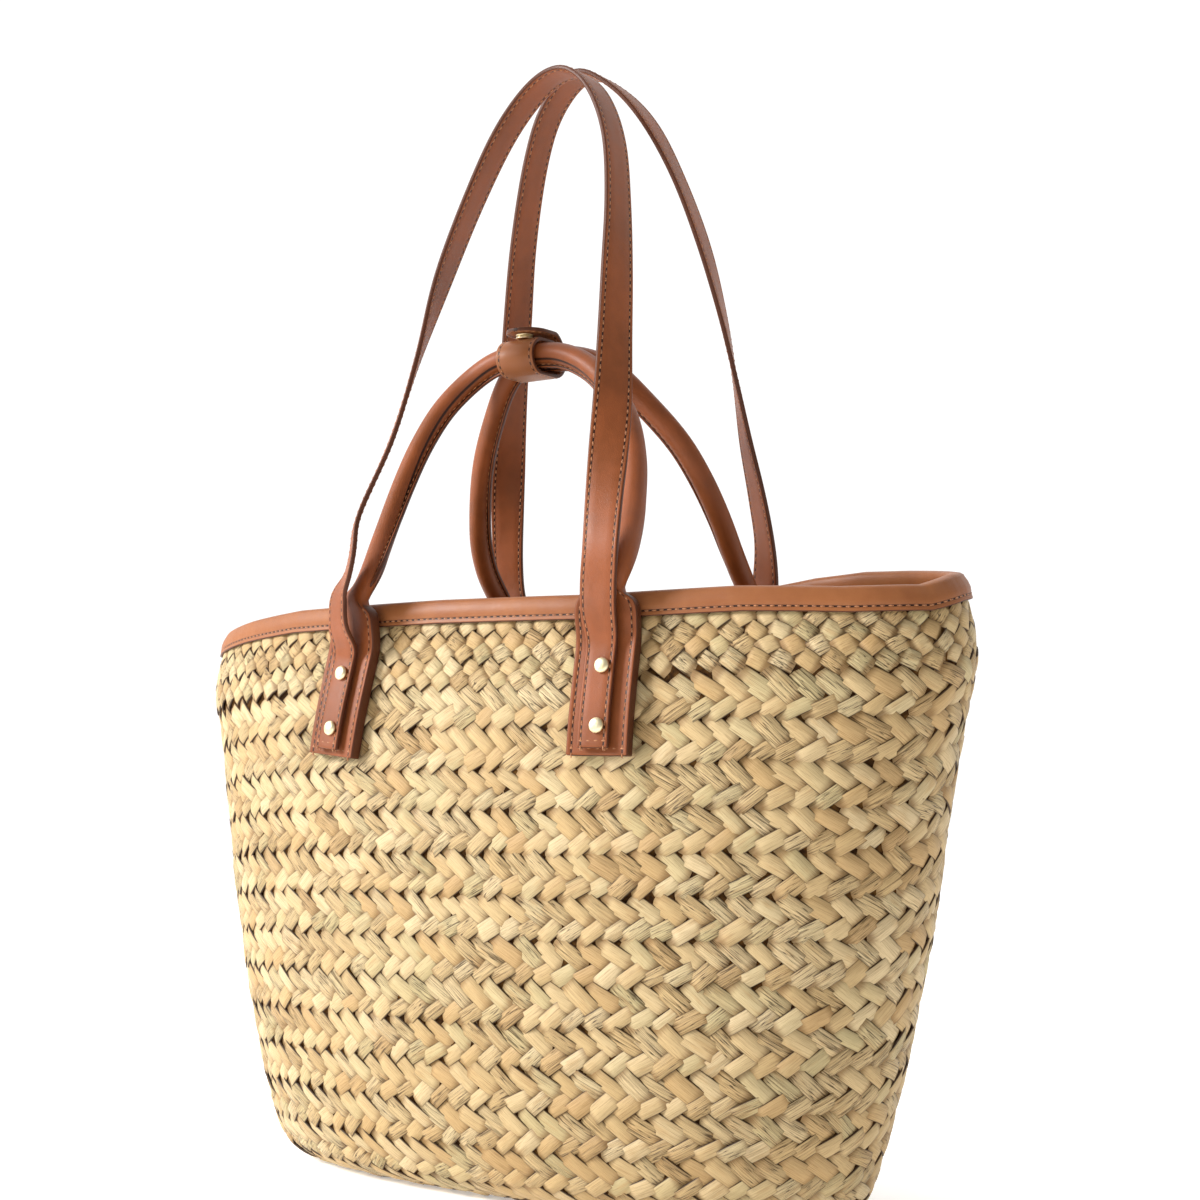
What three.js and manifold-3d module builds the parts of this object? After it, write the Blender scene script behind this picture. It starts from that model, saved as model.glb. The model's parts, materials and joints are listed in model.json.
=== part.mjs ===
// Straw basket bag with two short rolled leather handles and two long flat leather shoulder straps.
// Millimetres, +Z up. The front is towards -Y, and the origin is the middle of the base.
import * as THREE from 'three';
import { mergeVertices } from 'three/addons/utils/BufferGeometryUtils.js';
import Module from 'manifold-3d';

const wasm = await Module();
wasm.setup();

// Driving dimensions of the basket
const rimHeight = 283;          // base to the top of the leather on the rim, where the rim lies level
const halfWidth = 222;          // widest half width of the straw, a little below the rim
const rimHalfDepth = 66;        // half depth of the straw at the mouth
const mouthRoundness = 2.2;     // exponent of the oval: 2 is an ellipse, more is fuller
const wall = 4;                 // plaited straw, two strips thick where they cross
const rimWave = 10;             // how far the soft rim rises and dips
const endLift = 6;              // how far the ends of the base curve up from the floor

// Driving dimensions of the leather
const gap = 0.3;                // clearance between pieces that touch
const curveGap = 0.5;           // the same where leather follows a curve
const leather = 1.6;            // one layer of leather
const bindingDepth = 10;        // how far the rim binding reaches down
const tabSpacing = 154;         // from tab to tab, middle to middle
const tabLength = 75;           // from the top of the rim to the lower end of a tab
const tabWidth = 31;
const tabThick = 6;             // two layers with a filler between them
const tabTilt = 8;              // how far the front left tab leans to the right over its length
const tabPivot = 0.2;           // share of its length, from its lower end, about which it leans
const backShift = 6;            // how far the back tabs sit further left than the front ones
const tubeThick = 11.2;         // diameter of the rolled handles
const neckWidth = 16;
const neckThick = 8;
const handleRise = 129;         // from the rim to the middle of the tube at the top
const strapWidth = 18.5;
const strapEndWidth = 15.5;     // of the ends that lie on the tabs
const strapThick = 2.4;
const strapRise = 268;          // from the rim to the strap at the top of the front arch
const strapEndGap = 3.5;        // how far the end of a strap stays above the end of its tab
const strapShift = 0.8;         // how far each strap lies to the left of the middle of its tabs

// Driving dimensions of the metal and of the handle wrap
const rivetCapWidth = 7.2;
const rivetCapHeight = 1.9;
const rivetBackThick = 1.2;     // flat cap inside the basket
const rivetShank = 3;
const rivetDropUpper = 36.3;    // from the rim down to the upper rivet
const rivetPitch = 26.3;        // from the upper rivet to the lower one
const rivetShift = 1.2;         // how far the rivets sit to the right of the middle of their tabs
const wrapWidth = 23;
const wrapThick = 2;
const wrapPlace = -17;          // where the wrap sits along the handles
const wrapSag = 2.6;              // how far the wrap hangs below the middle of the tubes, in all
const wrapLift = 3;             // how far the flap stands above the wrap, on the snap
const flapReach = 8;            // how far the flap passes the middle of the front tube
const snapWidth = 9;

// Numbers of faces
const bodySides = 48;
const tubeSides = 12;
const strapSides = 8;
const rivetSides = 10;
const stepsPerRow = 2;

// Section rows of the basket from the base up: heights are shares of the straw's height, widths of the
// half width, depths of the half depth at the mouth
const bodyRows = [
  { height: 0.000, width: 0.690, depth: 0.72 },
  { height: 0.010, width: 0.732, depth: 0.87 },
  { height: 0.036, width: 0.756, depth: 1.01 },
  { height: 0.088, width: 0.776, depth: 1.12 },
  { height: 0.165, width: 0.806, depth: 1.19 },
  { height: 0.310, width: 0.852, depth: 1.24 },
  { height: 0.465, width: 0.895, depth: 1.25 },
  { height: 0.625, width: 0.930, depth: 1.24 },
  { height: 0.780, width: 0.970, depth: 1.18 },
  { height: 0.880, width: 1.000, depth: 1.10 },
  { height: 0.960, width: 0.986, depth: 1.03 },
  { height: 1.000, width: 0.967, depth: 1.00 },
];

// Rise of the soft rim round the mouth, as shares of the rim wave: 0 degrees is the right end, 90 the back
const waveRows = [
  { turn: 0, rise: 0.55 },
  { turn: 12, rise: 0.80 },
  { turn: 36, rise: 1.22 },
  { turn: 48, rise: 1.38 },
  { turn: 58, rise: 1.28 },
  { turn: 68, rise: 0.95 },
  { turn: 90, rise: 0.30 },
  { turn: 135, rise: 0.00 },
  { turn: 165, rise: -0.55 },
  { turn: 185, rise: -0.90 },
  { turn: 200, rise: -0.85 },
  { turn: 222, rise: -0.33 },
  { turn: 238, rise: -0.02 },
  { turn: 265, rise: 0.03 },
  { turn: 285, rise: -0.08 },
  { turn: 307, rise: 0.06 },
  { turn: 325, rise: -0.08 },
  { turn: 345, rise: 0.00 },
  { turn: 360, rise: 0.55 },
];

// Arch rows of the short handles from the left tab to the right one. Rises are shares of the handle rise,
// places across of half the tab spacing, leans of the way from the mid-plane out to the rim. Turn is in
// degrees: 0 where the broad side faces outwards, 90 where it faces up or sideways.
const frontHandleRows = [
  { rise: 0.010, across: -0.929, lean: 1.00, turn: 10, width: 0.80, thick: 0.00, square: 3.2 },
  { rise: 0.060, across: -0.873, lean: 0.98, turn: 15, width: 0.25, thick: 0.45, square: 2.4 },
  { rise: 0.130, across: -0.869, lean: 0.89, turn: 25, width: 0.00, thick: 1.00, square: 2 },
  { rise: 0.220, across: -0.910, lean: 0.75, turn: 35, width: 0.00, thick: 1.00, square: 2 },
  { rise: 0.340, across: -0.941, lean: 0.59, turn: 45, width: 0.00, thick: 1.00, square: 2 },
  { rise: 0.500, across: -0.944, lean: 0.42, turn: 55, width: 0.00, thick: 1.00, square: 2 },
  { rise: 0.660, across: -0.898, lean: 0.28, turn: 65, width: 0.00, thick: 1.00, square: 2 },
  { rise: 0.810, across: -0.807, lean: 0.14, turn: 72, width: 0.00, thick: 1.00, square: 2 },
  { rise: 0.930, across: -0.644, lean: 0.02, turn: 80, width: 0.00, thick: 1.00, square: 2 },
  { rise: 0.993, across: -0.425, lean: 0.00, turn: 88, width: 0.00, thick: 1.00, square: 2 },
  { rise: 1.000, across: -0.172, lean: 0.00, turn: 90, width: 0.00, thick: 1.00, square: 2 },
  { rise: 0.985, across: 0.094, lean: 0.01, turn: 88, width: 0.00, thick: 1.00, square: 2 },
  { rise: 0.910, across: 0.353, lean: 0.06, turn: 80, width: 0.00, thick: 1.00, square: 2 },
  { rise: 0.790, across: 0.580, lean: 0.16, turn: 72, width: 0.00, thick: 1.00, square: 2 },
  { rise: 0.660, across: 0.759, lean: 0.28, turn: 65, width: 0.00, thick: 1.00, square: 2 },
  { rise: 0.500, across: 0.886, lean: 0.42, turn: 55, width: 0.00, thick: 1.00, square: 2 },
  { rise: 0.340, across: 0.974, lean: 0.59, turn: 45, width: 0.00, thick: 1.00, square: 2 },
  { rise: 0.220, across: 1.038, lean: 0.75, turn: 35, width: 0.00, thick: 1.00, square: 2 },
  { rise: 0.130, across: 1.076, lean: 0.89, turn: 25, width: 0.00, thick: 1.00, square: 2 },
  { rise: 0.060, across: 1.068, lean: 0.98, turn: 15, width: 0.25, thick: 0.45, square: 2.4 },
  { rise: 0.010, across: 1.011, lean: 1.00, turn: 10, width: 0.80, thick: 0.00, square: 3.2 },
];
const backHandleRows = [
  { rise: 0.010, across: -1.075, lean: 1.00, turn: 10, width: 0.80, thick: 0.00, square: 3.2 },
  { rise: 0.060, across: -1.125, lean: 0.98, turn: 15, width: 0.25, thick: 0.45, square: 2.4 },
  { rise: 0.130, across: -1.150, lean: 0.88, turn: 25, width: 0.00, thick: 1.00, square: 2 },
  { rise: 0.220, across: -1.135, lean: 0.73, turn: 35, width: 0.00, thick: 1.00, square: 2 },
  { rise: 0.340, across: -1.078, lean: 0.57, turn: 45, width: 0.00, thick: 1.00, square: 2 },
  { rise: 0.500, across: -0.972, lean: 0.41, turn: 55, width: 0.00, thick: 1.00, square: 2 },
  { rise: 0.640, across: -0.855, lean: 0.28, turn: 65, width: 0.00, thick: 1.00, square: 2 },
  { rise: 0.780, across: -0.683, lean: 0.14, turn: 72, width: 0.00, thick: 1.00, square: 2 },
  { rise: 0.920, across: -0.490, lean: 0.02, turn: 80, width: 0.00, thick: 1.00, square: 2 },
  { rise: 0.993, across: -0.345, lean: 0.00, turn: 88, width: 0.00, thick: 1.00, square: 2 },
  { rise: 1.000, across: -0.120, lean: 0.00, turn: 90, width: 0.00, thick: 1.00, square: 2 },
  { rise: 0.985, across: 0.125, lean: 0.01, turn: 88, width: 0.00, thick: 1.00, square: 2 },
  { rise: 0.920, across: 0.355, lean: 0.05, turn: 80, width: 0.00, thick: 1.00, square: 2 },
  { rise: 0.790, across: 0.552, lean: 0.16, turn: 72, width: 0.00, thick: 1.00, square: 2 },
  { rise: 0.640, across: 0.735, lean: 0.29, turn: 65, width: 0.00, thick: 1.00, square: 2 },
  { rise: 0.490, across: 0.843, lean: 0.42, turn: 55, width: 0.00, thick: 1.00, square: 2 },
  { rise: 0.340, across: 0.891, lean: 0.59, turn: 45, width: 0.00, thick: 1.00, square: 2 },
  { rise: 0.220, across: 0.898, lean: 0.75, turn: 35, width: 0.00, thick: 1.00, square: 2 },
  { rise: 0.130, across: 0.899, lean: 0.89, turn: 25, width: 0.00, thick: 1.00, square: 2 },
  { rise: 0.060, across: 0.915, lean: 0.98, turn: 15, width: 0.25, thick: 0.45, square: 2.4 },
  { rise: 0.010, across: 0.950, lean: 1.00, turn: 10, width: 0.80, thick: 0.00, square: 3.2 },
];

// Arch rows of the shoulder straps, in the same columns, with rises as shares of the strap rise
const frontStrapRows = [
  { rise: 0.010, across: -0.935, lean: 1.08, turn: 26 },
  { rise: 0.045, across: -0.867, lean: 1.07, turn: 42 },
  { rise: 0.090, across: -0.842, lean: 1.05, turn: 45 },
  { rise: 0.160, across: -0.856, lean: 0.98, turn: 47 },
  { rise: 0.300, across: -0.719, lean: 0.83, turn: 46 },
  { rise: 0.455, across: -0.617, lean: 0.70, turn: 52 },
  { rise: 0.610, across: -0.516, lean: 0.57, turn: 75 },
  { rise: 0.765, across: -0.355, lean: 0.45, turn: 82 },
  { rise: 0.890, across: -0.179, lean: 0.35, turn: 87 },
  { rise: 0.970, across: 0.027, lean: 0.28, turn: 89 },
  { rise: 0.995, across: 0.229, lean: 0.26, turn: 90 },
  { rise: 0.972, across: 0.410, lean: 0.28, turn: 89 },
  { rise: 0.915, across: 0.571, lean: 0.32, turn: 89 },
  { rise: 0.825, across: 0.708, lean: 0.39, turn: 89 },
  { rise: 0.700, across: 0.800, lean: 0.49, turn: 85 },
  { rise: 0.570, across: 0.865, lean: 0.60, turn: 74 },
  { rise: 0.440, across: 0.922, lean: 0.71, turn: 65 },
  { rise: 0.330, across: 0.966, lean: 0.80, turn: 48 },
  { rise: 0.240, across: 0.984, lean: 0.87, turn: 26 },
  { rise: 0.150, across: 1.005, lean: 0.95, turn: 9 },
  { rise: 0.070, across: 1.028, lean: 1.02, turn: 2 },
  { rise: 0.010, across: 1.005, lean: 1.01, turn: 3 },
];
const backStrapRows = [
  { rise: 0.010, across: -1.104, lean: 1.01, turn: 4 },
  { rise: 0.070, across: -1.150, lean: 1.01, turn: 4 },
  { rise: 0.150, across: -1.125, lean: 0.95, turn: 9 },
  { rise: 0.250, across: -1.059, lean: 0.86, turn: 29 },
  { rise: 0.350, across: -0.984, lean: 0.78, turn: 55 },
  { rise: 0.450, across: -0.896, lean: 0.70, turn: 73 },
  { rise: 0.600, across: -0.767, lean: 0.58, turn: 75 },
  { rise: 0.750, across: -0.627, lean: 0.46, turn: 83 },
  { rise: 0.900, across: -0.433, lean: 0.34, turn: 88 },
  { rise: 0.992, across: -0.240, lean: 0.27, turn: 89 },
  { rise: 1.043, across: 0.025, lean: 0.24, turn: 90 },
  { rise: 1.004, across: 0.290, lean: 0.26, turn: 89 },
  { rise: 0.930, across: 0.507, lean: 0.32, turn: 89 },
  { rise: 0.820, across: 0.683, lean: 0.40, turn: 82 },
  { rise: 0.690, across: 0.816, lean: 0.50, turn: 80 },
  { rise: 0.560, across: 0.890, lean: 0.61, turn: 71 },
  { rise: 0.440, across: 0.927, lean: 0.71, turn: 60 },
  { rise: 0.320, across: 0.949, lean: 0.81, turn: 46 },
  { rise: 0.220, across: 0.983, lean: 0.89, turn: 38 },
  { rise: 0.130, across: 0.985, lean: 0.99, turn: 33 },
  { rise: 0.060, across: 0.957, lean: 1.05, turn: 20 },
  { rise: 0.010, across: 0.938, lean: 1.04, turn: 8 },
];

// Round end of the flap: distances back from its tip and widths, as shares of the width of the wrap
const flapRows = [
  { back: 0.48, width: 1.00 },
  { back: 0.26, width: 0.94 },
  { back: 0.13, width: 0.80 },
  { back: 0.04, width: 0.56 },
  { back: 0.00, width: 0.30 },
];

const degrees = Math.PI / 180;
const strawHeight = rimHeight - leather - gap;

// Value of a column at a place in a table, straight between rows
function between(rows, key, column, at) {
  const last = rows.length - 1;
  let i = 0;
  while (i < last - 1 && rows[i + 1][key] < at) i += 1;
  const low = rows[i];
  const high = rows[i + 1];
  const share = THREE.MathUtils.clamp((at - low[key]) / (high[key] - low[key]), 0, 1);
  return THREE.MathUtils.lerp(low[column], high[column], share);
}

// Rows of a table with smooth rows added between them, every column on a Catmull-Rom curve
function smoothRows(rows, steps) {
  const out = [];
  const columns = Object.keys(rows[0]);
  for (let i = 0; i < rows.length - 1; i += 1) {
    for (let k = 0; k < steps; k += 1) {
      const row = {};
      for (const column of columns) {
        const p = [-1, 0, 1, 2].map((d) => rows[THREE.MathUtils.clamp(i + d, 0, rows.length - 1)][column]);
        row[column] = new THREE.SplineCurve([0, 1, 2, 3].map((x) => new THREE.Vector2(x, p[x])))
          .getPoint((1 + k / steps) / 3).y;
      }
      out.push(row);
    }
  }
  out.push(rows[rows.length - 1]);
  return out;
}

function roundPower(value, power) {
  return Math.sign(value) * Math.abs(value) ** power;
}

// Rise of the rim at an angle round the mouth
function rimRise(angle) {
  const turn = ((angle / degrees) % 360 + 360) % 360;
  return rimWave * between(waveRows, 'turn', 'rise', turn);
}

// Point of the straw's outer face, or of a face set in from it. Level is the share of the straw's height.
function strawPoint(angle, level, inset = 0) {
  const power = 2 / mouthRoundness;
  const reach = halfWidth * between(bodyRows, 'height', 'width', level);
  const depth = rimHalfDepth * between(bodyRows, 'height', 'depth', level);
  const across = roundPower(Math.cos(angle), power);
  const lift = endLift * Math.abs(across * reach / halfWidth) ** 3 * Math.max(0, 1 - level / 0.4);
  const flat = level === 0 ? 0 : lift;
  return new THREE.Vector3(
    (reach - inset) * across,
    (depth - inset) * roundPower(Math.sin(angle), power),
    level * strawHeight + rimRise(angle) * level ** 4 + flat,
  );
}

// Place on the outer face at a distance across and a height, on the front (side -1) or the back (side 1)
function facePlace(across, height, side) {
  let level = height / strawHeight;
  let angle = side * Math.PI / 2;
  for (let i = 0; i < 12; i += 1) {
    const reach = halfWidth * between(bodyRows, 'height', 'width', level);
    angle = side * Math.acos(roundPower(across / reach, mouthRoundness / 2));
    level += (height - strawPoint(angle, level).z) / strawHeight;
  }
  const step = 0.01;
  const point = strawPoint(angle, level);
  const along = strawPoint(angle + step, level).sub(strawPoint(angle - step, level)).normalize();
  along.multiplyScalar(-side);
  const up = strawPoint(angle, Math.min(1, level + step)).sub(strawPoint(angle, level - step)).normalize();
  const normal = new THREE.Vector3().crossVectors(along, up).multiplyScalar(-side).normalize();
  return { point, along, normal };
}

// Distance across of the middle of a tab at a height
function tabAcross(end, side, height) {
  const share = (height - rimHeight + tabLength) / tabLength;
  const tilt = end < 0 && side < 0 ? tabTilt * (share - tabPivot) : 0;
  return end * tabSpacing / 2 + tilt - (side > 0 ? backShift : 0);
}

// Closed skin through rings of points, with the first and last ring closed to their middles
function skin(rings) {
  const sides = rings[0].length;
  const positions = [];
  const middle = (ring) => ring.reduce((sum, p) => sum.add(p), new THREE.Vector3()).divideScalar(sides);
  for (const point of [...rings.flat(), middle(rings[0]), middle(rings[rings.length - 1])]) {
    positions.push(point.x, point.y, point.z);
  }
  const first = rings.length * sides;
  const index = [];
  for (let k = 0; k < sides; k += 1) {
    const next = (k + 1) % sides;
    index.push(first, next, k);
    index.push(first + 1, (rings.length - 1) * sides + k, (rings.length - 1) * sides + next);
    for (let r = 0; r < rings.length - 1; r += 1) {
      const a = r * sides + k;
      const b = r * sides + next;
      index.push(a, b, b + sides, a, b + sides, a + sides);
    }
  }
  const geometry = new THREE.BufferGeometry();
  geometry.setAttribute('position', new THREE.Float32BufferAttribute(positions, 3));
  geometry.setIndex(index);
  return facingOut(geometry);
}

// Closed skin through rings that come round to the first again
function hoopSkin(rings) {
  const sides = rings[0].length;
  const positions = rings.flat().flatMap((p) => [p.x, p.y, p.z]);
  const index = [];
  for (let r = 0; r < rings.length; r += 1) {
    const nextRing = (r + 1) % rings.length;
    for (let k = 0; k < sides; k += 1) {
      const next = (k + 1) % sides;
      const corners = [r * sides + k, r * sides + next, nextRing * sides + next, nextRing * sides + k];
      index.push(corners[0], corners[1], corners[2], corners[0], corners[2], corners[3]);
    }
  }
  const geometry = new THREE.BufferGeometry();
  geometry.setAttribute('position', new THREE.Float32BufferAttribute(positions, 3));
  geometry.setIndex(index);
  return facingOut(geometry);
}

// The same geometry with its faces turned to point out of the solid
function facingOut(geometry) {
  const position = geometry.getAttribute('position');
  const index = geometry.getIndex();
  const a = new THREE.Vector3();
  const b = new THREE.Vector3();
  const c = new THREE.Vector3();
  let volume = 0;
  for (let i = 0; i < index.count; i += 3) {
    a.fromBufferAttribute(position, index.getX(i));
    b.fromBufferAttribute(position, index.getX(i + 1));
    c.fromBufferAttribute(position, index.getX(i + 2));
    volume += a.dot(b.cross(c));
  }
  if (volume < 0) {
    for (let i = 0; i < index.count; i += 3) {
      const kept = index.getX(i + 1);
      index.setX(i + 1, index.getX(i + 2));
      index.setX(i + 2, kept);
    }
  }
  return geometry;
}

// Solid of a closed geometry, for cutting
function toSolid(geometry) {
  const bare = geometry.clone();
  bare.deleteAttribute('normal');
  bare.deleteAttribute('uv');
  const merged = mergeVertices(bare, 1e-4);
  return new wasm.Manifold(new wasm.Mesh({
    numProp: 3,
    vertProperties: new Float32Array(merged.getAttribute('position').array),
    triVerts: new Uint32Array(merged.getIndex().array),
  }));
}

// Geometry of a solid
function toGeometry(solid) {
  const mesh = solid.getMesh();
  const geometry = new THREE.BufferGeometry();
  geometry.setAttribute('position', new THREE.BufferAttribute(new Float32Array(mesh.vertProperties), 3));
  geometry.setIndex(new THREE.BufferAttribute(new Uint32Array(mesh.triVerts), 1));
  return geometry;
}

// Geometry with round holes cut through it for the rivets
function drilled(geometry, rivets) {
  let solid = toSolid(geometry);
  for (const rivet of rivets) {
    const reach = 4 * (wall + tabThick + strapThick);
    const hole = new THREE.CylinderGeometry(rivetShank / 2 + gap, rivetShank / 2 + gap, reach, 10);
    hole.applyMatrix4(rivet.matrix);
    solid = solid.subtract(toSolid(hole));
  }
  return toGeometry(solid);
}

// Ring of a strip's section: half width along one direction, half thickness along the other
function sectionRing(middle, wide, thick, halfWide, halfThick, square, sides) {
  const ring = [];
  for (let k = 0; k < sides; k += 1) {
    const angle = 2 * Math.PI * (k + 0.5) / sides;
    const x = halfWide * roundPower(Math.cos(angle), 2 / square);
    const y = halfThick * roundPower(Math.sin(angle), 2 / square);
    ring.push(middle.clone().addScaledVector(wide, x).addScaledVector(thick, y));
  }
  return ring;
}

// Strip or tube through a list of stations, each with a point, the direction of its width and its sizes
function strip(stations, sides) {
  const rings = stations.map((station, i) => {
    const before = stations[Math.max(0, i - 1)].point;
    const after = stations[Math.min(stations.length - 1, i + 1)].point;
    const along = after.clone().sub(before).normalize();
    const wide = station.wide.clone().addScaledVector(along, -station.wide.dot(along)).normalize();
    const thick = new THREE.Vector3().crossVectors(along, wide);
    return sectionRing(station.point, wide, thick, station.width / 2, station.thick / 2, station.square, sides);
  });
  return skin(rings);
}

// How far out of the mid-plane the pieces lie where the tabs cross the rim
const bindingLip = 0.4 * leather;
const bindingProud = curveGap + leather + bindingLip;
const rimPlace = facePlace(tabSpacing / 2 - backShift, strawHeight - bindingDepth / 2, 1);
const rimStand = rimPlace.point.y + bindingProud;
const neckStand = rimStand + gap + neckThick / 2;
const strapStand = rimStand + gap + neckThick + curveGap + gap + strapThick / 2;
const meetStand = tubeThick / 2 + gap;
const freeFrom = rimHeight - rivetDropUpper + 1.4 * rivetCapWidth;   // below this a strip lies on the face

// Heights at which a strip that lies on the basket follows its face, above a lower end
function faceHeights(lower) {
  const rows = bodyRows.map((row) => row.height * strawHeight);
  const extra = [freeFrom, rimHeight - 1.8 * bindingDepth];
  const inside = [...rows, ...extra].filter((z) => z > lower + 1 && z < rimHeight - bindingDepth);
  return [lower, ...inside.sort((p, q) => p - q), rimHeight - bindingDepth / 2];
}

// Direction of a strip's width at an angle from the right, as seen from above
function widthDirection(angle, side) {
  return new THREE.Vector3(Math.cos(angle * degrees), -side * Math.sin(angle * degrees), 0);
}

// Stations of a strip where it lies on the basket, from the lower end up to the rim. From above the upper
// rivet they pass over to the place, direction and sizes of the first station of the arch.
function faceStations(end, side, shift, lower, stand, sizes, start) {
  return faceHeights(lower).map((height) => {
    const across = tabAcross(end, side, height) - shift;
    const place = facePlace(across, Math.min(height, strawHeight), side);
    const share = THREE.MathUtils.smoothstep(height, freeFrom, rimHeight - bindingDepth);
    const point = place.point.clone().addScaledVector(place.normal, stand).lerp(start.point, share);
    point.z = height;
    const wide = place.along.clone().multiplyScalar(end).lerp(start.wide, share).normalize();
    const width = THREE.MathUtils.lerp(sizes.width, start.width, share * (sizes.width < start.width));
    return { point, wide, ...sizes, width };
  });
}

// Stations of an arch from its rows, with smooth ones added between them
function archStations(rows, rise, toStation) {
  const peak = rows.findIndex((row) => row.turn === 90);
  const angled = rows.map((row, i) => ({ ...row, angle: i <= peak ? 180 - row.turn : row.turn }));
  return smoothRows(angled, stepsPerRow).map((row) => {
    const point = new THREE.Vector3(row.across * tabSpacing / 2, 0, rimHeight + row.rise * rise);
    return toStation(row, point);
  });
}

// Arch with a face part at both ends
function withEnds(arch, side, shift, lower, stand, sizes) {
  const left = faceStations(-1, side, shift, lower, stand, sizes, arch[0]);
  const right = faceStations(1, side, shift, lower, stand, sizes, arch[arch.length - 1]);
  return [...left, ...arch, ...right.reverse()];
}

// Short handle: tab, neck, rolled tube, neck, tab
function handleStations(rows, side) {
  const sizes = { width: tabWidth, thick: tabThick, square: 7 };
  const arch = archStations(rows, handleRise, (row, point) => ({
    point: point.setY(side * THREE.MathUtils.lerp(meetStand, neckStand, row.lean)),
    wide: widthDirection(row.angle, side),
    width: THREE.MathUtils.lerp(tubeThick, neckWidth, row.width),
    thick: THREE.MathUtils.lerp(neckThick, tubeThick, row.thick),
    square: row.square,
  }));
  return withEnds(arch, side, 0, rimHeight - tabLength, curveGap + tabThick / 2, sizes);
}

// Shoulder strap from the lower end on the left tab to the lower end on the right one
function strapStations(rows, side) {
  const sizes = { width: strapEndWidth, thick: strapThick, square: 7 };
  const stand = curveGap + tabThick + curveGap + strapThick / 2;
  const arch = archStations(rows, strapRise, (row, point) => ({
    point: point.setY(side * strapStand * row.lean),
    wide: widthDirection(row.angle, side),
    ...sizes,
    width: strapWidth,
  }));
  return withEnds(arch, side, strapShift, rimHeight - tabLength + strapEndGap, stand, sizes);
}

// Rivet places: along the outward normal of the straw, through the strap, the tab and the straw
function rivetPlaces() {
  const places = [];
  const sides = [['front', -1], ['back', 1]];
  const ends = [['left', -1], ['right', 1]];
  const rows = [['upper', rivetDropUpper], ['lower', rivetDropUpper + rivetPitch]];
  for (const [sideName, side] of sides) {
    for (const [endName, end] of ends) {
      for (const [rowName, drop] of rows) {
        const across = tabAcross(end, side, rimHeight - drop) + rivetShift;
        const place = facePlace(across, rimHeight - drop, side);
        const matrix = new THREE.Matrix4().makeRotationFromQuaternion(
          new THREE.Quaternion().setFromUnitVectors(new THREE.Vector3(0, 1, 0), place.normal));
        matrix.setPosition(place.point);
        places.push({ name: `rivet_${sideName}_${endName}_${rowName}`, side, matrix });
      }
    }
  }
  return places;
}

// Rivet turned about its shank: domed cap outside, flat cap inside. Zero is the straw's outer face.
function rivetGeometry() {
  const seat = curveGap + tabThick + curveGap + strapThick + gap;
  const inner = -(wall + curveGap);
  const cap = rivetCapWidth / 2;
  return new THREE.LatheGeometry([
    new THREE.Vector2(0, inner - rivetBackThick),
    new THREE.Vector2(cap, inner - rivetBackThick),
    new THREE.Vector2(cap, inner),
    new THREE.Vector2(rivetShank / 2, inner),
    new THREE.Vector2(rivetShank / 2, seat),
    new THREE.Vector2(cap, seat),
    new THREE.Vector2(cap, seat + rivetCapHeight * 0.3),
    new THREE.Vector2(cap * 0.65, seat + rivetCapHeight * 0.85),
    new THREE.Vector2(0, seat + rivetCapHeight),
  ], rivetSides);
}

// Basket: outer face from the base up, over the top edge, and the inner face down again
function basketGeometry() {
  const angles = Array.from({ length: bodySides }, (_, k) => 2 * Math.PI * k / bodySides);
  const ring = (level, inset, raise) => angles.map((angle) => {
    const point = strawPoint(angle, level, inset);
    point.z += raise;
    return point;
  });
  const bindingLevel = 1 - 1.2 * bindingDepth / strawHeight;
  const levels = [...bodyRows.map((row) => row.height), bindingLevel].sort((p, q) => p - q);
  const outer = levels.map((level) => ring(level, 0, 0));
  const innerLevels = levels.filter((level) => level === 0 || level > 0.03).reverse();
  const inner = innerLevels.map((level) => ring(level, wall, level === 0 ? wall : wall * (1 - level) ** 3));
  return skin([...outer, ...inner]);
}

// Rim binding: a strip of leather folded over the top edge of the straw, down both faces
function bindingGeometry() {
  const round = leather + gap;
  const section = [
    { out: curveGap, down: bindingDepth },
    { out: curveGap + leather, down: bindingDepth },
    { out: bindingProud, down: bindingDepth / 2 },
    { out: curveGap + leather, down: 0 },
    { out: curveGap + leather * 0.3, down: -round * 0.75 },
    { out: -wall / 2, down: -round },
    { out: -wall - curveGap - leather * 0.3, down: -round * 0.75 },
    { out: -wall - curveGap - leather, down: 0 },
    { out: -wall - curveGap - leather, down: bindingDepth },
    { out: -wall - curveGap, down: bindingDepth },
    { out: -wall - curveGap, down: -gap },
    { out: curveGap, down: -gap },
  ];
  const rings = Array.from({ length: bodySides }, (_, k) => {
    const angle = 2 * Math.PI * k / bodySides;
    return section.map(({ out, down }) => {
      const level = 1 - Math.max(0, down) / strawHeight;
      const point = strawPoint(angle, level, -out);
      point.z = strawPoint(angle, 1).z - down;
      return point;
    });
  });
  return hoopSkin(rings);
}

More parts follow.
